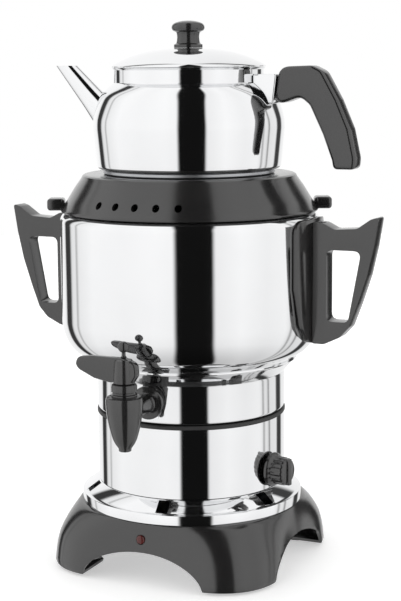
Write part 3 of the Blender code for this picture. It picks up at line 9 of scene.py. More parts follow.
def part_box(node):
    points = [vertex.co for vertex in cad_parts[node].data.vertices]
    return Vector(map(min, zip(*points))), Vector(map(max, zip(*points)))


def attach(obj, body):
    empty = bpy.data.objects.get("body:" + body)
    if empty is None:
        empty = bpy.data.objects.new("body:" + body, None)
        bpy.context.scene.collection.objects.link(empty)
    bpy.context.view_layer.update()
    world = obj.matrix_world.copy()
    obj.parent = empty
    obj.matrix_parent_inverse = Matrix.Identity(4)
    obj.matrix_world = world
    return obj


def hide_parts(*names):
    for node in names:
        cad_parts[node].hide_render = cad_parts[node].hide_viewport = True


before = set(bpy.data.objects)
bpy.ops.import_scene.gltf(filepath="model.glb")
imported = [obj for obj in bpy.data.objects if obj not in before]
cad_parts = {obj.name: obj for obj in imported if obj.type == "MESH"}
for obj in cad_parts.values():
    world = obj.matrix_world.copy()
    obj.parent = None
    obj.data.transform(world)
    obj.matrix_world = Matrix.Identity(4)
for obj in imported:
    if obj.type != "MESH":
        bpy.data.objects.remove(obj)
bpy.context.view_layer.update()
bpy.ops.object.select_all(action="DESELECT")


# Studio: a white room with a pale floor, long light panels all round and narrow dark gaps between them.
# Polished steel shows nothing but its surroundings, so the panels and gaps follow the photo's reflections.
CAMERA_AZIMUTH = 25.0
CAMERA_DISTANCE = 1.316
CAMERA_HEIGHT = 0.444
CAMERA_PITCH = 9.1
CAMERA_YAW = 0.394
CAMERA_ROLL = 0.43
FOCAL_PIXELS = 1482.0
IMAGE_HEIGHT = 601.0
SENSOR = 36.0
FLOOR_RADIUS = 2.6
FLOOR_WHITE = (0.90, 0.90, 0.895)
FLOOR_ROUGHNESS = 0.6
FLOOR_GLOW = 0.45
ROOM_WHITE = 1.0
ROOM_STRENGTH = 1.12
OVERHEAD_SPREAD = 0.5
OVERHEAD_POWER = 3.0
# Rows of (degrees to the right of the camera, brightness of the room there)
PANELS = (
    (-180, 0.92), (-152, 0.95), (-144, 0.88), (-141, 0.04), (-131, 0.04), (-127, 0.80), (-121, 0.86),
    (-118, 0.45), (-115, 0.88), (-95, 1.0), (-60, 0.97), (-30, 1.0), (-15, 0.97), (-12, 0.006), (18.5, 0.006),
    (21.5, 0.90), (45, 1.0), (70, 0.93), (92, 0.97), (97, 0.88), (100, 0.35), (103, 0.85), (108, 0.80),
    (111, 0.25), (114, 0.82), (128, 0.85), (132, 0.05), (143, 0.05), (148, 0.85), (180, 0.92),
)
# Rows of (height of the direction from -1 to 1, share of the panels' brightness)
UP_AND_DOWN = ((-1.0, 0.55), (-0.5, 0.90), (0.0, 1.0), (1.0, 1.0))

axis_low, axis_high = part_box("boiler_shell")
AXIS = Vector(((axis_low.x + axis_high.x) / 2, (axis_low.y + axis_high.y) / 2, 0))

camera_data = bpy.data.cameras.new("camera")
camera_data.sensor_fit = "VERTICAL"
camera_data.sensor_height = SENSOR
camera_data.lens = FOCAL_PIXELS / IMAGE_HEIGHT * SENSOR
camera = bpy.data.objects.new("camera", camera_data)
bpy.context.scene.collection.objects.link(camera)
turn = math.radians(CAMERA_AZIMUTH)
camera.location = AXIS + Vector(
    (CAMERA_DISTANCE * math.sin(turn), -CAMERA_DISTANCE * math.cos(turn), CAMERA_HEIGHT))
camera.rotation_euler = (
    Matrix.Rotation(turn - math.radians(CAMERA_YAW), 3, "Z")
    @ Matrix.Rotation(math.radians(90 - CAMERA_PITCH), 3, "X")
    @ Matrix.Rotation(math.radians(-CAMERA_ROLL), 3, "Z")).to_euler()
bpy.context.scene.camera = camera
bpy.context.scene.view_settings.view_transform = "Standard"

world = bpy.data.worlds.new("studio")
bpy.context.scene.world = world
world.use_nodes = True
tree = world.node_tree
tree.nodes.clear()


def node(tree, kind, inputs=None, **settings):
    """A shader node with its settings and its unlinked input values."""
    made = tree.nodes.new(kind)
    for key, value in settings.items():
        setattr(made, key, value)
    for key, value in (inputs or {}).items():
        made.inputs[key].default_value = value
    return made


def link(tree, *pairs):
    """Links each output to its input."""
    for source, target in pairs:
        tree.links.new(source, target)


def set_stops(ramp, stops):
    """Gives a colour ramp its stops, as (place, brightness)."""
    for index, (spot, bright) in enumerate(stops):
        stop = ramp.color_ramp.elements[index] if index < 2 else ramp.color_ramp.elements.new(spot)
        stop.position = spot
        stop.color = (bright, bright, bright, 1)


direction = node(tree, "ShaderNodeTexCoord")
turned_to_camera = node(tree, "ShaderNodeVectorRotate", {"Angle": math.radians(-CAMERA_AZIMUTH)},
                        rotation_type="Z_AXIS")
parts = node(tree, "ShaderNodeSeparateXYZ")
steepness = node(tree, "ShaderNodeMath", operation="ABSOLUTE")
overhead = node(tree, "ShaderNodeMath", {1: OVERHEAD_POWER}, operation="POWER")
towards_camera = node(tree, "ShaderNodeMath", {1: -1.0}, operation="MULTIPLY")
in_front = node(tree, "ShaderNodeMath", {1: OVERHEAD_SPREAD}, operation="MULTIPLY_ADD")
around = node(tree, "ShaderNodeMath", operation="ARCTAN2")
share = node(tree, "ShaderNodeMath", {1: 1 / math.tau, 2: 0.5}, operation="MULTIPLY_ADD")
height_share = node(tree, "ShaderNodeMath", {1: 0.5, 2: 0.5}, operation="MULTIPLY_ADD")
ramp = node(tree, "ShaderNodeValToRGB")
set_stops(ramp, [(degrees / 360 + 0.5, bright) for degrees, bright in PANELS])
height_ramp = node(tree, "ShaderNodeValToRGB")
set_stops(height_ramp, [(height / 2 + 0.5, bright) for height, bright in UP_AND_DOWN])
room = node(tree, "ShaderNodeMix", {0: 1.0}, data_type="RGBA", blend_type="MULTIPLY")
lit = node(tree, "ShaderNodeBackground", {"Strength": ROOM_STRENGTH})
plain = node(tree, "ShaderNodeBackground", {"Color": (1, 1, 1, 1), "Strength": ROOM_WHITE})
ray = node(tree, "ShaderNodeLightPath")
chosen = node(tree, "ShaderNodeMixShader")
output = node(tree, "ShaderNodeOutputWorld")
link(tree, (direction.outputs["Generated"], turned_to_camera.inputs["Vector"]),
     (turned_to_camera.outputs[0], parts.inputs[0]), (parts.outputs["Z"], steepness.inputs[0]),
     (steepness.outputs[0], overhead.inputs[0]), (parts.outputs["Y"], towards_camera.inputs[0]),
     (overhead.outputs[0], in_front.inputs[0]), (towards_camera.outputs[0], in_front.inputs[2]),
     (parts.outputs["X"], around.inputs[0]), (in_front.outputs[0], around.inputs[1]),
     (around.outputs[0], share.inputs[0]), (parts.outputs["Z"], height_share.inputs[0]),
     (share.outputs[0], ramp.inputs[0]), (height_share.outputs[0], height_ramp.inputs[0]),
     (ramp.outputs[0], room.inputs[6]),
     (height_ramp.outputs[0], room.inputs[7]), (room.outputs[2], lit.inputs["Color"]),
     (ray.outputs["Is Camera Ray"], chosen.inputs[0]), (lit.outputs[0], chosen.inputs[1]),
     (plain.outputs[0], chosen.inputs[2]), (chosen.outputs[0], output.inputs["Surface"]))

bpy.ops.mesh.primitive_circle_add(vertices=64, radius=FLOOR_RADIUS, fill_type="NGON", location=AXIS)
floor = bpy.context.object
floor.name = "floor"
floor_paint = bpy.data.materials.new("floor_paint")
floor_paint.use_nodes = True
floor_shader = floor_paint.node_tree.nodes["Principled BSDF"]
floor_shader.inputs["Base Color"].default_value = (*FLOOR_WHITE, 1)
floor_shader.inputs["Roughness"].default_value = FLOOR_ROUGHNESS
floor_shader.inputs["Emission Color"].default_value = (1, 1, 1, 1)
floor_shader.inputs["Emission Strength"].default_value = FLOOR_GLOW
floor.data.materials.append(floor_paint)
floor.visible_glossy = False


# Base moulding: one black bakelite pressing, round on top and a rounded square on its four feet,
# with a low arch in each side.  It is hollow, with a floor in each foot for the rubber pad.
BASE_RINGS = 200
BASE_WALL = 0.003
BASE_TOP_OPENING = 0.072
BASE_FLOOR_OPENING = 0.088
ARCH_HALF_WIDTH = 0.058
ARCH_HEIGHT = 0.029
CORNER_SHARPNESS = 2.3
CORNER_REACH = 0.1285
SIDE_REACH = 0.105
BAKELITE_BLACK = (0.013, 0.013, 0.014)
BAKELITE_WARM = (0.023, 0.022, 0.021)
BAKELITE_IOR = 1.66
BAKELITE_SPECULAR = 0.62
BASE_EDGE = 0.0006
SEAT_GAP = 0.0003
# Rows of (height share, side share, corner share) from the top edge down to the floor
BASE_SHAPE = (
    (1.0, 0.932, 0.790), (0.995, 0.939, 0.797), (0.98, 0.946, 0.813), (0.935, 0.949, 0.835),
    (0.89, 0.952, 0.856), (0.81, 0.958, 0.886), (0.72, 0.964, 0.914), (0.62, 0.972, 0.940),
    (0.52, 0.979, 0.961), (0.42, 0.985, 0.974), (0.32, 0.990, 0.984), (0.21, 0.994, 0.991),
    (0.11, 0.998, 0.996), (0.04, 0.999, 0.999), (0.0, 0.990, 0.992),
)


def select_only(piece):
    """Makes the piece the active object and the only selected one."""
    bpy.ops.object.select_all(action="DESELECT")
    piece.select_set(True)
    bpy.context.view_layer.objects.active = piece


def applied(piece, kind, **settings):
    """Adds a modifier and applies it."""
    select_only(piece)
    change = piece.modifiers.new("change", kind)
    for key, value in settings.items():
        setattr(change, key, value)
    bpy.ops.object.modifier_apply(modifier=change.name)
    return piece


def drawn_up(name, rings, vertices, closed=False):
    """A turned shell: a circle extruded ring after ring, each ring put at its radius and height.

    A ring is (radius, height), or (function of the angle, height) where it isn't round.
    """
    bpy.ops.mesh.primitive_circle_add(vertices=vertices, radius=1)
    piece = bpy.context.object
    piece.name = name
    bpy.ops.object.mode_set(mode="EDIT")
    for index, (radius, height) in enumerate(rings):
        if index:
            bpy.ops.mesh.extrude_region_move()
        shape = bmesh.from_edit_mesh(piece.data)
        for point in [p for p in shape.verts if p.select]:
            angle = round(math.atan2(point.co.y, point.co.x) / math.tau * vertices) * math.tau / vertices
            reach = radius(angle) if callable(radius) else max(radius, 1e-7)
            point.co = (reach * math.cos(angle), reach * math.sin(angle), height)
        bmesh.update_edit_mesh(piece.data)
    bpy.ops.mesh.select_all(action="SELECT")
    bpy.ops.mesh.remove_doubles(threshold=2e-6)
    bpy.ops.mesh.normals_make_consistent(inside=False)
    bpy.ops.object.mode_set(mode="OBJECT")
    return piece


def put(piece, place=(0, 0, 0), turn=(0, 0, 0)):
    """Moves the piece's mesh to its place, and leaves the object at the origin."""
    matrix = Matrix.Translation(place)
    for angle, letter in zip(turn, "XYZ"):
        if angle:
            matrix = matrix @ Matrix.Rotation(math.radians(angle), 4, letter)
    piece.data.transform(matrix @ piece.matrix_basis)
    piece.matrix_basis = Matrix.Identity(4)
    piece.data.update()
    return piece


def joined(piece, tool, operation="DIFFERENCE"):
    """Cuts with a tool or adds it, and removes the tool."""
    applied(piece, "BOOLEAN", object=tool, operation=operation, solver="MANIFOLD")
    bpy.data.objects.remove(tool, do_unlink=True)
    return piece


def rod(radius, bottom, top, vertices=32, end_radius=None):
    """A plain round tool for cuts."""
    bpy.ops.mesh.primitive_cone_add(
        vertices=vertices, radius1=radius, radius2=radius if end_radius is None else end_radius,
        depth=top - bottom, location=(0, 0, (top + bottom) / 2))
    return put(bpy.context.object)


def brick(size, center=(0, 0, 0)):
    """A plain box tool for cuts."""
    bpy.ops.mesh.primitive_cube_add(size=1, location=center, scale=size)
    return put(bpy.context.object)


def finished(piece, material, body, slot, *nodes, smooth=35, edge=0.0, segments=2):
    """Rounds the edges, shades, paints and seats a piece on its body."""
    if edge:
        applied(piece, "BEVEL", width=edge, segments=segments, limit_method="ANGLE",
                angle_limit=math.radians(30), harden_normals=False)
    select_only(piece)
    bpy.ops.object.shade_smooth_by_angle(angle=math.radians(smooth))
    piece.data.materials.clear()
    piece.data.materials.append(material)
    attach(piece, body)
    if nodes:
        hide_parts(*nodes)
    return piece


def shader_group(name, inputs, outputs):
    """An empty node group with named number inputs and named outputs."""
    group = bpy.data.node_groups.new(name, "ShaderNodeTree")
    for label, value in inputs.items():
        group.interface.new_socket(label, in_out="INPUT", socket_type="NodeSocketFloat").default_value = value
    for label, kind in outputs.items():
        group.interface.new_socket(label, in_out="OUTPUT", socket_type=kind)
    return group, group.nodes.new("NodeGroupInput"), group.nodes.new("NodeGroupOutput")


# Smears and fine texture that bakelite, steel and rubber share: a slow cloud and a fine grain,
# mixed into a roughness between two values, and a height for the bump.
handling, given, result = shader_group(
    "handling_marks", {"Cloud Scale": 20.0, "Grain Scale": 900.0, "Low": 0.1, "High": 0.3, "Stretch": 1.0},
    {"Roughness": "NodeSocketFloat", "Height": "NodeSocketFloat", "Cloud": "NodeSocketFloat"})
spot = node(handling, "ShaderNodeTexCoord")
stretch = node(handling, "ShaderNodeCombineXYZ", {0: 1.0, 1: 1.0})
stretched = node(handling, "ShaderNodeVectorMath", operation="MULTIPLY")
cloud = node(handling, "ShaderNodeTexNoise", {"Detail": 5.0, "Roughness": 0.6})
grain = node(handling, "ShaderNodeTexNoise", {"Detail": 2.0, "Roughness": 0.5})
blend = node(handling, "ShaderNodeMath", {1: 0.3}, operation="MULTIPLY")
mixed = node(handling, "ShaderNodeMath", {1: 0.7}, operation="MULTIPLY_ADD")
spread_out = node(handling, "ShaderNodeMapRange", {"From Min": 0.32, "From Max": 0.68})
link(handling, (given.outputs["Stretch"], stretch.inputs[2]), (spot.outputs["Object"], stretched.inputs[0]),
     (stretch.outputs[0], stretched.inputs[1]), (spot.outputs["Object"], cloud.inputs["Vector"]),
     (stretched.outputs[0], grain.inputs["Vector"]), (given.outputs["Cloud Scale"], cloud.inputs["Scale"]),
     (given.outputs["Grain Scale"], grain.inputs["Scale"]), (grain.outputs["Fac"], blend.inputs[0]),
     (cloud.outputs["Fac"], mixed.inputs[0]), (blend.outputs[0], mixed.inputs[2]),
     (mixed.outputs[0], spread_out.inputs["Value"]), (given.outputs["Low"], spread_out.inputs["To Min"]),
     (given.outputs["High"], spread_out.inputs["To Max"]),
     (spread_out.outputs[0], result.inputs["Roughness"]),
     (grain.outputs["Fac"], result.inputs["Height"]), (cloud.outputs["Fac"], result.inputs["Cloud"]))


def marked_material(name, dark, light, metallic, marks, bump, coat=0.0, wave=0.0, wave_scale=14.0):
    """A Principled material whose colour, roughness and bump follow the handling marks."""
    material = bpy.data.materials.new(name)
    material.use_nodes = True
    tree = material.node_tree
    shader = tree.nodes["Principled BSDF"]
    shader.inputs["Metallic"].default_value = metallic
    shader.inputs["Coat Weight"].default_value = coat
    shader.inputs["Coat Roughness"].default_value = 0.04
    group = node(tree, "ShaderNodeGroup", node_tree=handling)
    for label, value in marks.items():
        group.inputs[label].default_value = value
    tint = node(tree, "ShaderNodeMix", {6: (*dark, 1), 7: (*light, 1)}, data_type="RGBA")
    relief = node(tree, "ShaderNodeBump", {"Strength": 1.0, "Distance": bump})
    link(tree, (group.outputs["Cloud"], tint.inputs[0]), (tint.outputs[2], shader.inputs["Base Color"]),
         (group.outputs["Roughness"], shader.inputs["Roughness"]),
         (group.outputs["Height"], relief.inputs["Height"]),
         (relief.outputs[0], shader.inputs["Normal"]))
    if wave:
        spot = node(tree, "ShaderNodeTexCoord")
        slow = node(tree, "ShaderNodeTexNoise", {"Scale": wave_scale, "Detail": 1.0})
        swell = node(tree, "ShaderNodeBump", {"Strength": 1.0, "Distance": wave})
        link(tree, (spot.outputs["Object"], slow.inputs["Vector"]),
             (slow.outputs["Fac"], swell.inputs["Height"]),
             (swell.outputs[0], relief.inputs["Normal"]))
    return material


bakelite = marked_material(
    "glossy_bakelite", BAKELITE_BLACK, BAKELITE_WARM, 0.0,
    {"Cloud Scale": 24.0, "Grain Scale": 1400.0, "Low": 0.10, "High": 0.20},
    0.00001, wave=0.00012, wave_scale=30.0)
bakelite_shader = bakelite.node_tree.nodes["Principled BSDF"]
bakelite_shader.inputs["IOR"].default_value = BAKELITE_IOR
bakelite_shader.inputs["Specular IOR Level"].default_value = BAKELITE_SPECULAR

base_low, base_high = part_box("base_skirt")


def base_reach(side_share, corner_share, inset=0.0):
    """The base's outline at one height, as a function of the angle."""
    side = SIDE_REACH * side_share - inset
    corner = CORNER_REACH * corner_share - inset
    return lambda angle: side + (corner - side) * abs(math.sin(2 * angle)) ** CORNER_SHARPNESS


base_rings = [(BASE_TOP_OPENING, base_high.z)]
for up, side, corner in BASE_SHAPE:
    base_rings.append((base_reach(side, corner), base_low.z + (base_high.z - base_low.z) * up))
base_rings.append((BASE_FLOOR_OPENING, base_low.z))
base = applied(drawn_up("base_moulding", base_rings, BASE_RINGS), "SOLIDIFY", thickness=BASE_WALL, offset=-1)
for quarter in (0, 90):
    arch = rod(ARCH_HEIGHT, -CORNER_REACH, CORNER_REACH, vertices=96)
    arch.scale.x = ARCH_HALF_WIDTH / ARCH_HEIGHT
    put(put(arch, turn=(90, 0, 0)), turn=(0, 0, quarter))
    joined(base, arch)
put(base, AXIS)
lens_low, lens_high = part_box("pilot_lamp_lens")
lamp_hole = put(rod((lens_high.x - lens_low.x) / 2 + SEAT_GAP, 0, CORNER_REACH, vertices=40),
                ((lens_low.x + lens_high.x) / 2, AXIS.y, (lens_low.z + lens_high.z) / 2), (90, 0, 0))
joined(base, lamp_hole)
finished(base, bakelite, "root", "black_bakelite", "base_skirt", edge=BASE_EDGE)


# Foot pads: grey rubber discs pressed into the recesses under the feet.
rubber = marked_material(
    "foot_rubber", (0.045, 0.045, 0.046), (0.075, 0.075, 0.073), 0.0,
    {"Cloud Scale": 60.0, "Grain Scale": 2400.0, "Low": 0.62, "High": 0.85}, 0.00005)
for number in (1, 2, 3, 4):
    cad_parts["foot_pad_%d" % number].data.materials[0] = rubber


# Skirt ring: flared sheet steel with a turned-out lip, six vent slots and a spigot that centres the housing.
STEEL_DARK = (0.80, 0.805, 0.815)
STEEL_LIGHT = (0.88, 0.884, 0.89)
SHEET = 0.0012
SLOT_COUNT = 6
SLOT_WIDTH = 0.0105
SLOT_HEIGHT = 0.0080
SLOT_START = 9.0
LIP_HEIGHT = 0.0086
LIP_STEP = 0.0028
SKIRT_LEDGE = 0.0729
SLOT_CUT_DEPTH = 0.05
COLUMN_STEPS = 192
steel = marked_material(
    "polished_steel", STEEL_DARK, STEEL_LIGHT, 1.0,
    {"Cloud Scale": 16.0, "Grain Scale": 260.0, "Low": 0.035, "High": 0.075, "Stretch": 14.0},
    0.0000012, wave=0.00022, wave_scale=9.0)

skirt_low, skirt_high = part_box("skirt_ring")
housing_low, housing_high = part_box("housing_shell")
column_radius = (housing_high.x - housing_low.x) / 2
lip_radius = (skirt_high.x - skirt_low.x) / 2
spigot_radius = column_radius - SHEET - SEAT_GAP
lip_top = skirt_low.z + LIP_HEIGHT
cone_foot = lip_radius - LIP_STEP
skirt = drawn_up("skirt", [
    (spigot_radius, skirt_high.z), (spigot_radius, SKIRT_LEDGE), (column_radius - 0.0004, SKIRT_LEDGE),
    (column_radius + 0.0006, SKIRT_LEDGE - 0.0005), (cone_foot, lip_top + SHEET),
    (cone_foot + 0.0008, lip_top + 0.0004),
    (lip_radius - 0.0009, lip_top), (lip_radius - 0.0003, lip_top - 0.0004), (lip_radius, lip_top - SHEET),
    (lip_radius, skirt_low.z)], COLUMN_STEPS)
applied(skirt, "SOLIDIFY", thickness=SHEET, offset=-1, use_even_offset=True)
slot_height = (SKIRT_LEDGE + lip_top) / 2
for number in range(SLOT_COUNT):
    angle = SLOT_START + 360 * number / SLOT_COUNT
    reach = (column_radius + cone_foot) / 2
    slot = brick((SLOT_WIDTH, SLOT_CUT_DEPTH, SLOT_HEIGHT), (0, -reach, slot_height))
    joined(skirt, put(slot, turn=(0, 0, angle)))
finished(put(skirt, AXIS), steel, "root", "polished_steel", "skirt_ring", smooth=28)


# Bottom plate, tie rod and nut: plated steel and brass that close the base from below.
plated = marked_material(
    "zinc_plate", (0.48, 0.49, 0.51), (0.62, 0.63, 0.65), 1.0,
    {"Cloud Scale": 70.0, "Grain Scale": 1500.0, "Low": 0.25, "High": 0.42}, 0.000012)
brass = marked_material(
    "turned_brass", (0.55, 0.38, 0.13), (0.70, 0.50, 0.20), 1.0,
    {"Cloud Scale": 90.0, "Grain Scale": 1800.0, "Low": 0.18, "High": 0.36}, 0.00001)
for name in ("bottom_plate", "tie_rod", "thermostat_bracket", "thermostat_spindle", "heating_element",
             "teapot_handle_stud", "teapot_lid_screw"):
    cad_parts[name].data.materials[0] = plated
for name in ("tie_rod_nut", "heater_flange", "tap_nut", "tap_plug"):
    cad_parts[name].data.materials[0] = brass


# Pilot lamp: a smoky red moulded lens in a white ceramic holder behind the front of the base.
lamp_red = marked_material(
    "lamp_lens", (0.075, 0.012, 0.011), (0.13, 0.022, 0.019), 0.0,
    {"Cloud Scale": 300.0, "Grain Scale": 900.0, "Low": 0.05, "High": 0.12}, 0.00002)
lamp_red.node_tree.nodes["Principled BSDF"].inputs["Transmission Weight"].default_value = 0.2
ceramic = marked_material(
    "unglazed_ceramic", (0.68, 0.66, 0.60), (0.80, 0.78, 0.73), 0.0,
    {"Cloud Scale": 120.0, "Grain Scale": 2600.0, "Low": 0.45, "High": 0.65}, 0.00003)
LENS_STRAIGHT_SHARE = 0.80
LENS_DOME_SHARE = 0.20
lens_radius = (lens_high.x - lens_low.x) / 2
lens_length = lens_high.y - lens_low.y
lens = drawn_up("lamp_lens", [(0, 0), (lens_radius, 0), (lens_radius, lens_length * LENS_STRAIGHT_SHARE)] + [
    (lens_radius * math.cos(math.radians(a)),
     lens_length * (LENS_STRAIGHT_SHARE + LENS_DOME_SHARE * math.sin(math.radians(a))))
    for a in range(10, 91, 10)], 48)
put(lens, ((lens_low.x + lens_high.x) / 2, lens_high.y, (lens_low.z + lens_high.z) / 2), (90, 0, 0))
finished(lens, lamp_red, "root", "lamp_red", "pilot_lamp_lens")
for name in ("pilot_lamp_holder", "thermal_cutout", "thermostat_body", "terminal_block"):
    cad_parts[name].data.materials[0] = ceramic


# Housing: a plain rolled steel tube round the electrics, with holes for the spindle and the power inlet.
SPINDLE_HOLE = 0.005
DIAL_TURN = -10.0
INLET_HOLE = (0.0286, 0.03, 0.0216)
# A hole's tool starts and ends at these shares of the wall's radius
CUT_START_SHARE = 0.9
CUT_END_SHARE = 1.05
inlet_low, inlet_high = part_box("power_inlet")
knob_low, knob_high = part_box("thermostat_knob")
knob_height = (knob_low.z + knob_high.z) / 2
inlet_height = (inlet_low.z + inlet_high.z) / 2
housing = drawn_up("housing", [(column_radius, housing_high.z), (column_radius, housing_low.z)], COLUMN_STEPS)
applied(housing, "SOLIDIFY", thickness=SHEET, offset=-1)
spindle_hole = put(rod(SPINDLE_HOLE, column_radius * CUT_START_SHARE, column_radius * CUT_END_SHARE),
                   (0, 0, knob_height), (0, 90, 0))
joined(housing, put(spindle_hole, turn=(0, 0, DIAL_TURN)))
joined(housing, brick(INLET_HOLE, (0, column_radius, inlet_height)))
finished(put(housing, AXIS), steel, "root", "polished_steel", "housing_shell", smooth=28)


# Seam gasket: a dark silicone ring squeezed between the housing and the boiler.
silicone = marked_material(
    "dark_silicone", (0.020, 0.020, 0.021), (0.036, 0.036, 0.036), 0.0,
    {"Cloud Scale": 80.0, "Grain Scale": 1600.0, "Low": 0.42, "High": 0.6}, 0.00002)
SEAM_DEPTH = 0.007
SEAM_ROUND = 0.0007
seam_low, seam_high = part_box("seam_gasket")
seam_radius = (seam_high.x - seam_low.x) / 2
seam = drawn_up("seam_ring", [
    (seam_radius - SEAM_DEPTH, seam_high.z), (seam_radius - 0.0005, seam_high.z),
    (seam_radius, seam_high.z - SEAM_ROUND), (seam_radius, seam_low.z + SEAM_ROUND),
    (seam_radius - 0.0005, seam_low.z), (seam_radius - SEAM_DEPTH, seam_low.z),
    (seam_radius - SEAM_DEPTH, seam_high.z)], COLUMN_STEPS)
finished(put(seam, AXIS), silicone, "root", "dark_silicone", "seam_gasket")
for name in ("tap_gasket", "tap_inner_gasket", "heater_gasket"):
    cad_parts[name].data.materials[0] = silicone


# Power inlet: a black moulded appliance socket in the back of the housing.
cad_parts["power_inlet"].data.materials[0] = bakelite


# Thermostat knob: black bakelite, fluted round the grip, with a raised bar as its pointer.
FLUTES = 18
FLUTE_DEPTH = 0.00055
KNOB_GRIP_SHARE = 0.82
KNOB_BACK = 0.0865
KNOB_DEPTH = 0.017
POINTER_PROUD = 0.0020
POINTER_WIDTH = 0.0046
POINTER_SUNK = 0.004
knob_radius = (knob_high.z - knob_low.z) / 2


def fluted(radius):
    """A radius that dips at each flute, as a function of the angle."""
    return lambda angle: radius - FLUTE_DEPTH * (0.5 + 0.5 * math.cos(FLUTES * angle))


grip = knob_radius * KNOB_GRIP_SHARE
knob = drawn_up("thermostat_dial", [
    (0, 0), (knob_radius - 0.0006, 0), (knob_radius, 0.0006), (knob_radius, 0.002),
    (knob_radius - 0.0007, 0.0032),
    (grip + 0.0008, 0.0042), (fluted(grip), 0.0055), (fluted(grip), KNOB_DEPTH - 0.0035),
    (fluted(grip - 0.0007), KNOB_DEPTH - 0.0016), (grip - 0.0022, KNOB_DEPTH - 0.0004),
    (grip - 0.0032, KNOB_DEPTH), (0, KNOB_DEPTH)], 144)
bar = brick((grip * 1.9, POINTER_WIDTH, KNOB_DEPTH - POINTER_SUNK),
            (0, 0, (KNOB_DEPTH + POINTER_SUNK) / 2 + POINTER_PROUD))
applied(bar, "BEVEL", width=0.0009, segments=2)
joined(knob, bar, "UNION")
put(knob, (KNOB_BACK, 0, knob_height), (0, 90, 0))
put(knob, AXIS, (0, 0, DIAL_TURN))
finished(knob, bakelite, "thermostat_dial", "black_bakelite", "thermostat_knob", smooth=32)


# Boiler: a spun steel drum with a rolled shoulder and a round lower corner, and the neck that is welded on
# below it, a taper with a bead in it and a narrow sump.  One piece stands for both.  The tap's hole and the
# handle screws' holes go through it.
BOILER_STEPS = 256
MOUTH_RADIUS = 0.100
SHOULDER_ROUND = 0.009
CORNER_TOP = 0.222
CORNER_DEPTH = 0.033
CORNER_WIDTH = 0.0203
CORNER_END = 75.0
TAPER_BOTTOM = 0.172
BEAD_SHARES = (0.60,)
BEAD = 0.0016
SUMP_CORNER = 0.003
HEATER_OPENING = 0.026
TAP_HEIGHT = 0.158
TAP_HOLE = 0.0083
SCREW_HOLE = 0.0025
boiler_low, boiler_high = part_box("boiler_shell")
neck_low, neck_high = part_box("boiler_neck")
drum_radius = (boiler_high.x - boiler_low.x) / 2


def curve_points(center, radii, start, end, steps):
    """Points along an elliptic arc, as (radius, height)."""
    made = []
    for step in range(steps + 1):
        angle = math.radians(start + (end - start) * step / steps)
        made.append((center[0] + radii[0] * math.cos(angle), center[1] - radii[1] * math.sin(angle)))
    return made


profile = [(MOUTH_RADIUS, boiler_high.z), (MOUTH_RADIUS + 0.001, boiler_high.z)]
profile += curve_points((drum_radius - SHOULDER_ROUND, boiler_high.z - SHOULDER_ROUND),
                        (SHOULDER_ROUND, SHOULDER_ROUND), -90, 0, 10)
profile += curve_points((drum_radius - CORNER_WIDTH, CORNER_TOP), (CORNER_WIDTH, CORNER_DEPTH),
                        0, CORNER_END, 22)
taper_top = profile[-1]
for share_down in BEAD_SHARES:
    height = TAPER_BOTTOM + (taper_top[1] - TAPER_BOTTOM) * share_down
    radius = column_radius + (taper_top[0] - column_radius) * share_down
    profile += [(radius + BEAD * 0.8, height + BEAD * 1.6), (radius + BEAD * 1.1, height + BEAD * 1.0),
                (radius + BEAD * 0.6, height + BEAD * 0.3), (radius, height)]
profile += [(column_radius + 0.0016, TAPER_BOTTOM + 0.0018), (column_radius + 0.0004, TAPER_BOTTOM + 0.0004),
            (column_radius, TAPER_BOTTOM - 0.0012), (column_radius, neck_low.z + SUMP_CORNER)]
profile += curve_points((column_radius - SUMP_CORNER, neck_low.z + SUMP_CORNER), (SUMP_CORNER, SUMP_CORNER),
                        20, 90, 4)
profile += [(HEATER_OPENING, neck_low.z)]
boiler = drawn_up("boiler", profile, BOILER_STEPS)
applied(boiler, "SOLIDIFY", thickness=SHEET, offset=-1, use_even_offset=True)
joined(boiler, put(rod(TAP_HOLE, column_radius * CUT_START_SHARE, column_radius * CUT_END_SHARE),
                   (0, 0, TAP_HEIGHT), (90, 0, 0)))
for name, side in (("right", 1), ("left", -1)):
    for number in (1, 2):
        low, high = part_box("%s_handle_screw_%d" % (name, number))
        joined(boiler, put(rod(SCREW_HOLE, drum_radius * CUT_START_SHARE, drum_radius * CUT_END_SHARE),
                           (0, 0, (low.z + high.z) / 2), (0, 90 * side, 0)))
        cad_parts["%s_handle_screw_%d" % (name, number)].data.materials[0] = plated
finished(put(boiler, AXIS), steel, "root", "polished_steel", "boiler_shell", "boiler_neck", smooth=25)


# Tap: a black bakelite body with its spout, shank and wall flange in one moulding, fixed by a nut from
# inside the tank, and a bonnet screwed down on top of its plug.
# Rows of (radius share over the tip, height share), down the outside of the body
TAP_SHAPE = (
    (1.0, 0.93), (0.985, 0.82), (0.955, 0.73), (0.91, 0.65), (0.83, 0.545), (0.735, 0.44), (0.61, 0.335),
    (0.47, 0.23), (0.29, 0.145), (0.10, 0.085), (0.0, 0.055),
)
TAP_TIP_RADIUS = 0.0055
PLUG_FLOOR = 0.1427
PLUG_BORE = 0.0070
OUTLET_BORE = 0.0032
SHANK_BORE = 0.0045
SHANK_RADIUS = 0.008
FLANGE_RADIUS = 0.0145
TOOL_OVERRUN = 0.002
tap_low, tap_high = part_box("tap_body")
tap_x = (tap_low.x + tap_high.x) / 2
tap_radius = (tap_high.x - tap_low.x) / 2
tap_y = tap_low.y + tap_radius
tap_reach = AXIS.y - tap_y
gasket_low, gasket_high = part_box("tap_gasket")
flange_back = AXIS.y - gasket_low.y + SEAT_GAP
flange_face = tap_reach - flange_back
tap_tall = tap_high.z - tap_low.z
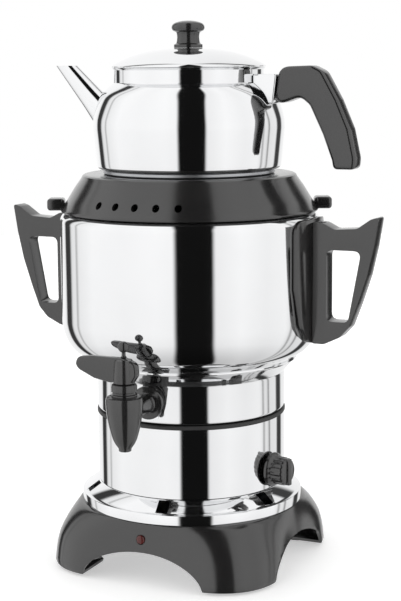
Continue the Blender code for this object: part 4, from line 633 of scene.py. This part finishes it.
tap = drawn_up("tap_casting", [
    (0, tap_high.z), (tap_radius - 0.0018, tap_high.z), (tap_radius - 0.0006, tap_high.z - 0.0006)] + [
    (TAP_TIP_RADIUS + out * (tap_radius - TAP_TIP_RADIUS), tap_low.z + up * tap_tall)
    for out, up in TAP_SHAPE] + [
    (TAP_TIP_RADIUS - 0.0002, tap_low.z + 0.0012), (TAP_TIP_RADIUS - 0.0003, tap_low.z + 0.0003),
    (TAP_TIP_RADIUS - 0.0008, tap_low.z), (0, tap_low.z)], 96)
shank = drawn_up("shank", [
    (0, 0), (SHANK_RADIUS, 0), (SHANK_RADIUS, flange_face - 0.0080), (0.0088, flange_face - 0.0055),
    (0.0115, flange_face - 0.0042), (0.0140, flange_face - 0.0034), (FLANGE_RADIUS, flange_face - 0.0026),
    (FLANGE_RADIUS, flange_face - 0.0003), (FLANGE_RADIUS - 0.0003, flange_face),
    (SHANK_RADIUS, flange_face), (SHANK_RADIUS, tap_high.y - tap_y),
    (0, tap_high.y - tap_y)], 72)
put(shank, (0, 0, TAP_HEIGHT), (-90, 0, 0))
joined(tap, shank, "UNION")
joined(tap, rod(PLUG_BORE, PLUG_FLOOR, tap_high.z + TOOL_OVERRUN))
joined(tap, rod(OUTLET_BORE, tap_low.z - TOOL_OVERRUN, PLUG_FLOOR + 0.001))
joined(tap, put(rod(SHANK_BORE, 0, tap_high.y - tap_y + TOOL_OVERRUN), (0, 0, TAP_HEIGHT), (-90, 0, 0)))
finished(put(tap, (tap_x, tap_y, 0)), bakelite, "root", "black_bakelite", "tap_body", smooth=40, edge=0.0003)

bonnet_low, bonnet_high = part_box("tap_bonnet")
STEM_HOLE = 0.0048
BONNET_GROOVE = 0.0009
bonnet_radius = (bonnet_high.x - bonnet_low.x) / 2
groove_radius = bonnet_radius - BONNET_GROOVE
bonnet_tall = bonnet_high.z - bonnet_low.z
bonnet = drawn_up("tap_bonnet_cap", [
    (STEM_HOLE, bonnet_high.z), (bonnet_radius - 0.0020, bonnet_high.z),
    (bonnet_radius - 0.0006, bonnet_high.z - 0.0006), (bonnet_radius, bonnet_high.z - 0.0020),
    (bonnet_radius, bonnet_low.z + bonnet_tall * 0.62), (groove_radius, bonnet_low.z + bonnet_tall * 0.58),
    (groove_radius, bonnet_low.z + bonnet_tall * 0.50), (bonnet_radius, bonnet_low.z + bonnet_tall * 0.46),
    (bonnet_radius, bonnet_low.z + 0.0006), (bonnet_radius - 0.0005, bonnet_low.z),
    (STEM_HOLE, bonnet_low.z), (STEM_HOLE, bonnet_high.z)], 72)
finished(put(bonnet, (tap_x, tap_y, 0)), bakelite, "root", "black_bakelite", "tap_bonnet", smooth=40)


# Tap lever: a leaf-shaped bakelite wing on a round hub that turns the plug, with a small ball
# screwed on top of it.
LEVER_OUTLINE = (
    (-1.03, 0.62), (-0.98, 0.92), (-0.70, 1.00), (0.05, 1.00), (0.29, 0.80),
    (0.31, 0.35), (0.20, 0.00), (-0.30, 0.00), (-0.62, 0.12), (-0.95, 0.42),
)
LEVER_REACH = 0.043
LEVER_THICKNESS = 0.008
LEVER_CORNER = 0.006
LEVER_ROUNDING = 0.0022
LEVER_EDGE = 0.0004
HUB_RADIUS = 0.0090
STEM_DEPTH = 0.0083
lever_low, lever_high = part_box("tap_lever")


def rounded_outline(points, radius, steps):
    """The outline with an arc in each corner, no longer than its sides allow."""
    outline = []
    for index, point in enumerate(points):
        corner = Vector(point)
        before = Vector(points[index - 1]) - corner
        after = Vector(points[(index + 1) % len(points)]) - corner
        reach = min(radius / math.tan(before.angle(after) / 2), before.length * 0.48, after.length * 0.48)
        start = corner + before.normalized() * reach
        end = corner + after.normalized() * reach
        for step in range(steps + 1):
            share_along = step / steps
            outline.append(start.lerp(corner, share_along).lerp(corner.lerp(end, share_along), share_along))
    return outline


def cut_plate(name, outlines, thickness, rounding, segments=4):
    """A thick plate standing in X and Z, from outlines: the first is its edge, the others are openings."""
    plate = None
    for outline in outlines:
        bpy.ops.mesh.primitive_circle_add(vertices=len(outline), radius=1, fill_type="NGON")
        sheet = bpy.context.object
        ordered = [sheet.data.vertices[i] for i in sheet.data.polygons[0].vertices]
        for point, (across, up) in zip(ordered, outline):
            point.co = (across, -thickness / 2 if plate is None else -thickness, up)
        depth = thickness if plate is None else thickness * 2
        select_only(sheet)
        bpy.ops.object.mode_set(mode="EDIT")
        bpy.ops.mesh.select_all(action="SELECT")
        bpy.ops.mesh.extrude_region_move(TRANSFORM_OT_translate={"value": (0, depth, 0)})
        bpy.ops.mesh.select_all(action="SELECT")
        bpy.ops.mesh.normals_make_consistent(inside=False)
        bpy.ops.object.mode_set(mode="OBJECT")
        if plate is None:
            plate = sheet
            plate.name = name
        else:
            joined(plate, sheet)
    if rounding:
        applied(plate, "BEVEL", width=rounding, segments=segments, limit_method="ANGLE",
                angle_limit=math.radians(50), use_clamp_overlap=True)
    return plate


lever_tall = lever_high.z - lever_low.z
outline = rounded_outline([(across * LEVER_REACH, lever_low.z + up * lever_tall)
                           for across, up in LEVER_OUTLINE], LEVER_CORNER, 5)
lever = cut_plate("tap_wing", [outline], LEVER_THICKNESS, LEVER_ROUNDING)
hub = drawn_up("hub", [
    (0, lever_low.z), (0.0086, lever_low.z), (HUB_RADIUS, lever_low.z + 0.0005),
    (0.0086, lever_low.z + 0.010), (0.0078, lever_high.z - 0.003), (0.0070, lever_high.z - 0.0016),
    (0, lever_high.z - 0.0012)], 64)
joined(lever, hub, "UNION")
joined(lever, rod(STEM_HOLE, lever_low.z - TOOL_OVERRUN, lever_low.z + STEM_DEPTH))
finished(put(lever, (tap_x, tap_y, 0)), bakelite, "tap_key", "black_bakelite", "tap_lever",
         smooth=40, edge=LEVER_EDGE)

finial_low, finial_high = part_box("tap_finial")
ball_radius = (finial_high.x - finial_low.x) / 2
ball = drawn_up("tap_ball", [
    (0, finial_low.z), (0.0024, finial_low.z), (0.0025, finial_low.z + 0.0005),
    (0.0017, finial_low.z + 0.0012), (0.0016, finial_high.z - ball_radius * 1.95)] + [
    (ball_radius * math.cos(math.radians(a)),
     finial_high.z - ball_radius + ball_radius * math.sin(math.radians(a)))
    for a in range(-66, 91, 12)], 48)
finished(put(ball, (tap_x, tap_y, 0)), bakelite, "tap_key", "black_bakelite", "tap_finial", smooth=40)


# Side handles: black bakelite grips with an open finger gap, each on a shield-shaped saddle
# that follows the drum, held by two screws from inside.
HANDLE_OUTLINE = (
    (-0.10, 0.946), (0.154, 0.94), (0.33, 0.893), (0.673, 0.905), (0.88, 0.98), (1.0, 1.0), (0.931, 0.771),
    (0.834, 0.547), (0.692, 0.323), (0.563, 0.143), (0.42, 0.060), (0.178, 0.0), (-0.10, 0.0),
)
HANDLE_OPENING = ((0.209, 0.735), (0.743, 0.735), (0.546, 0.18), (0.209, 0.18))
SADDLE_OUTLINE = (
    (1.0, 1.0), (1.0, 0.45), (0.78, 0.14), (0.36, 0.0),
    (-0.36, 0.0), (-0.78, 0.14), (-1.0, 0.45), (-1.0, 1.0),
)
SADDLE_THICKNESS = 0.004
SADDLE_CORNER = 0.012
SADDLE_EDGE = 0.0008
SADDLE_BLANK = 0.05
HANDLE_THICKNESS = 0.016
HANDLE_CORNER = 0.008
HANDLE_ROUNDING = 0.0040
OPENING_CORNER = 0.006
HANDLE_TOOL_OVERRUN = 0.01
HANDLE_LENGTH = 0.0584
HANDLE_BOTTOM = 0.204
HANDLE_TOP = 0.3155
saddle_low, saddle_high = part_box("right_handle_saddle")
saddle_radius = drum_radius + SEAT_GAP + SADDLE_THICKNESS
saddle_half = (saddle_high.y - saddle_low.y) / 2


def handle_points(shares):
    """An outline in shares of the handle's length and height, as (distance from the axis, height)."""
    return [(saddle_radius + out * HANDLE_LENGTH, HANDLE_BOTTOM + up * (HANDLE_TOP - HANDLE_BOTTOM))
            for out, up in shares]


outside = rounded_outline(handle_points(HANDLE_OUTLINE), HANDLE_CORNER, 6)
opening = rounded_outline(handle_points(HANDLE_OPENING), OPENING_CORNER, 6)
shield = rounded_outline([(across * saddle_half, saddle_low.z + up * (saddle_high.z - saddle_low.z))
                          for across, up in SADDLE_OUTLINE], SADDLE_CORNER, 6)
for name, side in (("right", 0), ("left", 180)):
    grip_piece = cut_plate(name + "_grip", [outside, opening], HANDLE_THICKNESS, HANDLE_ROUNDING, segments=5)
    joined(grip_piece, rod(saddle_radius + SEAT_GAP, HANDLE_BOTTOM - HANDLE_TOOL_OVERRUN,
                           HANDLE_TOP + HANDLE_TOOL_OVERRUN, vertices=256))
    put(grip_piece, AXIS, (0, 0, side))
    finished(grip_piece, bakelite, "root", "black_bakelite", name + "_handle", smooth=40)
    saddle = put(cut_plate(name + "_saddle_plate", [shield], SADDLE_BLANK, 0),
                 (saddle_radius, 0, 0), (0, 0, 90))
    joined(saddle, rod(saddle_radius, saddle_low.z - HANDLE_TOOL_OVERRUN,
                       saddle_high.z + HANDLE_TOOL_OVERRUN, vertices=256), "INTERSECT")
    inner = drawn_up("drum_tool", [(0, boiler_high.z)] + [(r + SEAT_GAP, z) for r, z in profile[2:]]
                     + [(0, neck_low.z)], BOILER_STEPS)
    joined(saddle, inner)
    put(saddle, AXIS, (0, 0, side))
    finished(saddle, bakelite, "root", "black_bakelite", name + "_handle_saddle", smooth=40,
             edge=SADDLE_EDGE)


# Boiler lid: a black bakelite cone that sits in the boiler's mouth and carries the teapot.
# It has two ears to lift it by, a row of five round vents in front and a wide steam hole on top.
lid_low, lid_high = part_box("boiler_lid")
LID_SEAT = boiler_high.z + SEAT_GAP
LID_TOP_RADIUS = 0.0955
LID_BOTTOM_RADIUS = 0.1143
LID_WALL = 0.0034
STEAM_RADIUS = 0.060
VENT_COUNT = 5
VENT_PITCH = 10.0
VENT_RADIUS = 0.0031
VENT_SHARE = 0.33
EAR_TURN = 25.0
EAR_SIZE = (0.020, 0.0151, 0.0105)
EAR_REACH = 0.126
EAR_ROUNDING = 0.0028
spigot = MOUTH_RADIUS - 0.001
lid = drawn_up("boiler_cone", [
    (STEAM_RADIUS, lid_high.z), (LID_TOP_RADIUS - 0.004, lid_high.z),
    (LID_TOP_RADIUS - 0.0022, lid_high.z - 0.0003),
    (LID_TOP_RADIUS - 0.0008, lid_high.z - 0.0012), (LID_TOP_RADIUS, lid_high.z - 0.0030),
    (LID_TOP_RADIUS + 0.006, lid_high.z - 0.0113), (LID_BOTTOM_RADIUS - 0.0060, LID_SEAT + 0.0098),
    (LID_BOTTOM_RADIUS - 0.0014, LID_SEAT + 0.0030), (LID_BOTTOM_RADIUS - 0.0003, LID_SEAT + 0.0018),
    (LID_BOTTOM_RADIUS, LID_SEAT + 0.0010), (LID_BOTTOM_RADIUS - 0.0003, LID_SEAT), (spigot, LID_SEAT),
    (spigot, LID_SEAT - 0.0065), (spigot - 0.0005, lid_low.z), (spigot - LID_WALL, lid_low.z),
    (spigot - LID_WALL, LID_SEAT + LID_WALL), (LID_BOTTOM_RADIUS - 0.0062, LID_SEAT + LID_WALL),
    (LID_TOP_RADIUS - LID_WALL, lid_high.z - LID_WALL), (STEAM_RADIUS, lid_high.z - LID_WALL),
    (STEAM_RADIUS, lid_high.z)], 224)
vent_height = LID_SEAT + (lid_high.z - LID_SEAT) * VENT_SHARE
for number in range(VENT_COUNT):
    vent = put(rod(VENT_RADIUS, LID_TOP_RADIUS * CUT_START_SHARE, LID_BOTTOM_RADIUS * CUT_END_SHARE,
                   vertices=28), (0, 0, vent_height), (90, 0, 0))
    joined(lid, put(vent, turn=(0, 0, (number - (VENT_COUNT - 1) / 2) * VENT_PITCH)))
for side in (-90, 90):
    ear = brick(EAR_SIZE, (0, -(EAR_REACH - EAR_SIZE[1] / 2), LID_SEAT + SEAT_GAP + EAR_SIZE[2] / 2))
    applied(ear, "BEVEL", width=EAR_ROUNDING, segments=4)
    joined(lid, put(ear, turn=(0, 0, EAR_TURN + side)), "UNION")
finished(put(lid, AXIS), bakelite, "boiler_cover", "black_bakelite", "boiler_lid", smooth=30)


# Teapot: a deep-drawn steel pot with a soft shoulder and a straight neck, on a thick plated base disc.
# The strainer holes for the spout are drilled through its shoulder.
# Rows of (radius share over the neck, height share over the body), down the shoulder
POT_SHOULDER = (
    (0.0, 1.0), (0.02, 0.985), (0.05, 0.975), (0.10, 0.957), (0.24, 0.905), (0.38, 0.845), (0.49, 0.792),
    (0.58, 0.735), (0.645, 0.683), (0.70, 0.627), (0.79, 0.525), (0.87, 0.413), (0.935, 0.305), (0.98, 0.20),
    (0.995, 0.10), (1.0, 0.0),
)
NECK_RADIUS = 0.0662
NECK_BOTTOM = 0.4275
BODY_TOP = 0.3880
POT_BOTTOM_RADIUS = 0.0815
POT_WALL = 0.001
POT_STEPS = 224
STRAINER_HEIGHT = 0.4005
STRAINER_PITCH = 0.0062
STRAINER_HOLE = 0.0022
pot_low, pot_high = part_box("teapot_shell")
pot_radius = (pot_high.x - pot_low.x) / 2
pot_profile = [(NECK_RADIUS + 0.0008, pot_high.z), (NECK_RADIUS + 0.0013, pot_high.z - 0.0006),
               (NECK_RADIUS + 0.0008, pot_high.z - 0.0014), (NECK_RADIUS, pot_high.z - 0.0020)]
pot_profile += [(NECK_RADIUS + across * (pot_radius - NECK_RADIUS), BODY_TOP + up * (NECK_BOTTOM - BODY_TOP))
                for across, up in POT_SHOULDER]
pot_profile += [(POT_BOTTOM_RADIUS + 0.0003, pot_low.z + 0.006)]
pot_profile += curve_points((POT_BOTTOM_RADIUS - 0.0035, pot_low.z + 0.0035), (0.0035, 0.0035), 5, 90, 7)
pot_profile += [(0, pot_low.z)]
pot = drawn_up("teapot_body", pot_profile, POT_STEPS)
applied(pot, "SOLIDIFY", thickness=POT_WALL, offset=-1, use_even_offset=True)
for number in range(7):
    angle = math.tau * number / 6
    ring = STRAINER_PITCH if number < 6 else 0
    joined(pot, put(rod(STRAINER_HOLE, NECK_RADIUS, pot_radius + TOOL_OVERRUN, vertices=16),
                    (0, ring * math.cos(angle), STRAINER_HEIGHT + ring * math.sin(angle)), (0, -90, 0)))
finished(put(pot, AXIS), steel, "teapot", "polished_steel", "teapot_shell", smooth=25)

disc_low, disc_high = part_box("teapot_base_disc")
disc_radius = (disc_high.x - disc_low.x) / 2
disc = drawn_up("teapot_disc", [
    (0, disc_high.z), (disc_radius - 0.0006, disc_high.z), (disc_radius, disc_high.z - 0.0008),
    (disc_radius, disc_low.z + 0.0010), (disc_radius - 0.0010, disc_low.z), (0, disc_low.z)], 160)
finished(put(disc, AXIS), plated, "teapot", "plated_steel", "teapot_base_disc")


# Teapot spout: a tapered steel tube welded over the strainer holes, cut level at its tip.
SPOUT_ROOT = (-0.0845, 0.4005)
SPOUT_TIP = (-0.123, 0.4425)
SPOUT_ROOT_RADIUS = 0.0125
SPOUT_TIP_RADIUS = 0.0076
SPOUT_WALL = 0.001
SPOUT_STEPS = 14
SPOUT_INWARD = 0.012
SPOUT_OVERRUN = 0.027
WELD_FLARE = 0.0006
WELD_LENGTH = 0.010
run = Vector(SPOUT_TIP) - Vector(SPOUT_ROOT)
lean = math.degrees(math.atan2(run.x, run.y))
narrowing = (SPOUT_ROOT_RADIUS - SPOUT_TIP_RADIUS) / run.length
spout_rings = []
for step in range(SPOUT_STEPS + 1):
    along = -SPOUT_INWARD + (run.length + SPOUT_OVERRUN) * step / SPOUT_STEPS
    flare = WELD_FLARE * math.exp(-(along / WELD_LENGTH) ** 2)
    spout_rings.append((SPOUT_ROOT_RADIUS - narrowing * along + flare, along))
spout = drawn_up("pouring_spout", spout_rings, 72)
applied(spout, "SOLIDIFY", thickness=SPOUT_WALL, offset=-1, use_even_offset=True)
put(spout, (SPOUT_ROOT[0], 0, SPOUT_ROOT[1]), (0, lean, 0))
joined(spout, brick((0.08, 0.08, 0.04), (SPOUT_TIP[0], 0, SPOUT_TIP[1] + 0.02)))


def pot_tool():
    """The pot's outside and a running gap, to cut what is welded on it."""
    outside = [(radius + SEAT_GAP, height) for radius, height in pot_profile[3:-1]]
    return drawn_up("pot_tool", [(0, pot_high.z)] + outside + [(0, pot_low.z)], POT_STEPS)


joined(spout, pot_tool())
finished(put(spout, AXIS), steel, "teapot", "polished_steel", "teapot_spout", smooth=30)


# Teapot handle: black bakelite, thick and rounded, pushed on a steel ferrule that is welded to the
# shoulder, and held by a stud through it.
GRIP_OUTLINE = (
    (0.03, 0.99), (0.44, 1.00), (0.585, 0.945), (0.775, 0.672), (0.925, 0.391), (1.0, 0.11),
    (0.99, 0.0), (0.72, 0.0), (0.70, 0.09), (0.585, 0.34), (0.42, 0.62), (0.30, 0.70), (-0.03, 0.605),
)
GRIP_ROOT = 0.086
GRIP_END = 0.1573
GRIP_BOTTOM = 0.3545
GRIP_TOP = 0.4415
GRIP_THICKNESS = 0.019
GRIP_CORNER = 0.011
GRIP_ROUNDING = 0.0062
FERRULE_INWARD = 0.060
FERRULE_THICKNESS = 0.020
FERRULE_CORNER = 0.002
FERRULE_ROUNDING = 0.0022
FERRULE_GAP = 0.0006
grip_points = [(GRIP_ROOT + out * (GRIP_END - GRIP_ROOT), GRIP_BOTTOM + up * (GRIP_TOP - GRIP_BOTTOM))
               for out, up in GRIP_OUTLINE]
pot_grip = cut_plate("teapot_grip", [rounded_outline(grip_points, GRIP_CORNER, 7)],
                     GRIP_THICKNESS, GRIP_ROUNDING, segments=5)
put(pot_grip, AXIS)
finished(pot_grip, bakelite, "teapot", "black_bakelite", "teapot_handle", smooth=40)
ferrule_low, ferrule_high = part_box("teapot_ferrule")
slope = (grip_points[0][0] - grip_points[-1][0]) / (grip_points[0][1] - grip_points[-1][1])


def ferrule_edge(height):
    """Where the ferrule ends at a height, a little short of the handle's sloping end."""
    return grip_points[-1][0] - FERRULE_GAP + slope * (height - grip_points[-1][1])


ferrule = cut_plate("grip_ferrule", [rounded_outline([
    (FERRULE_INWARD, ferrule_low.z), (ferrule_edge(ferrule_low.z), ferrule_low.z),
    (ferrule_edge(ferrule_high.z), ferrule_high.z), (FERRULE_INWARD, ferrule_high.z)], FERRULE_CORNER, 3)],
    FERRULE_THICKNESS, FERRULE_ROUNDING)
joined(ferrule, pot_tool())
finished(put(ferrule, AXIS), steel, "teapot", "polished_steel", "teapot_ferrule", smooth=40)


# Teapot lid: a shallow pressed steel dome with a rolled rim, which lies loose on the neck.
# The seat ring below it is not drawn yet: its CAD node is hidden with the lid's.
COVER_RADIUS = 0.0682
COVER_WALL = 0.0012
COVER_RIM = 0.001
SPIGOT_GAP = 0.0012
SCREW_PASSAGE = 0.002
# Rows of (radius share, height share), down the outside from the knob to the rim
DOME_SHAPE = (
    (0.19, 1.0), (0.26, 0.985), (0.35, 0.95), (0.44, 0.90), (0.53, 0.83), (0.61, 0.745), (0.69, 0.64),
    (0.76, 0.53), (0.82, 0.42), (0.88, 0.30), (0.93, 0.19), (0.965, 0.10), (0.985, 0.04),
)
cover_low, cover_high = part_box("teapot_lid")
cover_seat = pot_high.z + SEAT_GAP
rim_top = cover_seat + COVER_RIM
rise = cover_high.z - rim_top
spigot = NECK_RADIUS - POT_WALL - SPIGOT_GAP
dome = [(COVER_RADIUS * share_out, rim_top + rise * share_up) for share_out, share_up in DOME_SHAPE]
inner_dome = [(r - COVER_WALL, z - COVER_WALL) for r, z in reversed(dome[:-3])]
cover = drawn_up("teapot_dome", [(SCREW_PASSAGE, cover_high.z)] + dome + [
    (COVER_RADIUS - 0.0003, rim_top), (COVER_RADIUS, rim_top - 0.0003), (COVER_RADIUS, cover_seat + 0.0003),
    (COVER_RADIUS - 0.0003, cover_seat), (spigot, cover_seat), (spigot, cover_low.z),
    (spigot - COVER_WALL, cover_low.z), (spigot - COVER_WALL, cover_seat + COVER_WALL)] + inner_dome + [
    (SCREW_PASSAGE, cover_high.z - COVER_WALL), (SCREW_PASSAGE, cover_high.z)], 192)
finished(put(cover, AXIS), steel, "teapot_cover", "polished_steel", "teapot_lid", "teapot_lid_ring",
         smooth=25)


# Lid knob: a turned black bakelite pull, a domed disc on a waisted stem, held by a screw from below.
pull_low, pull_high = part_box("teapot_lid_knob")
pull_radius = (pull_high.x - pull_low.x) / 2
pull_tall = pull_high.z - pull_low.z
PULL_BORE = 0.0020
PULL_BORE_DEPTH = 0.0123
# Rows of (radius share, height share), from the top down
PULL_SHAPE = (
    (0.0, 1.0), (0.20, 0.997), (0.41, 0.985), (0.62, 0.955), (0.79, 0.92), (0.91, 0.875), (0.98, 0.81),
    (1.0, 0.76), (0.995, 0.71), (0.96, 0.66), (0.90, 0.625), (0.80, 0.60), (0.735, 0.575), (0.70, 0.54),
    (0.675, 0.46), (0.67, 0.38), (0.685, 0.28),
    (0.71, 0.20), (0.75, 0.155), (0.82, 0.135), (0.865, 0.12), (0.87, 0.10), (0.87, 0.01), (0.86, 0.0),
)
pull = drawn_up("lid_pull", [(pull_radius * out, pull_low.z + pull_tall * up) for out, up in PULL_SHAPE] + [
    (PULL_BORE, pull_low.z), (PULL_BORE, pull_low.z + PULL_BORE_DEPTH),
    (0, pull_low.z + PULL_BORE_DEPTH)], 96)
finished(put(pull, AXIS), bakelite, "teapot_cover", "black_bakelite", "teapot_lid_knob", smooth=40)
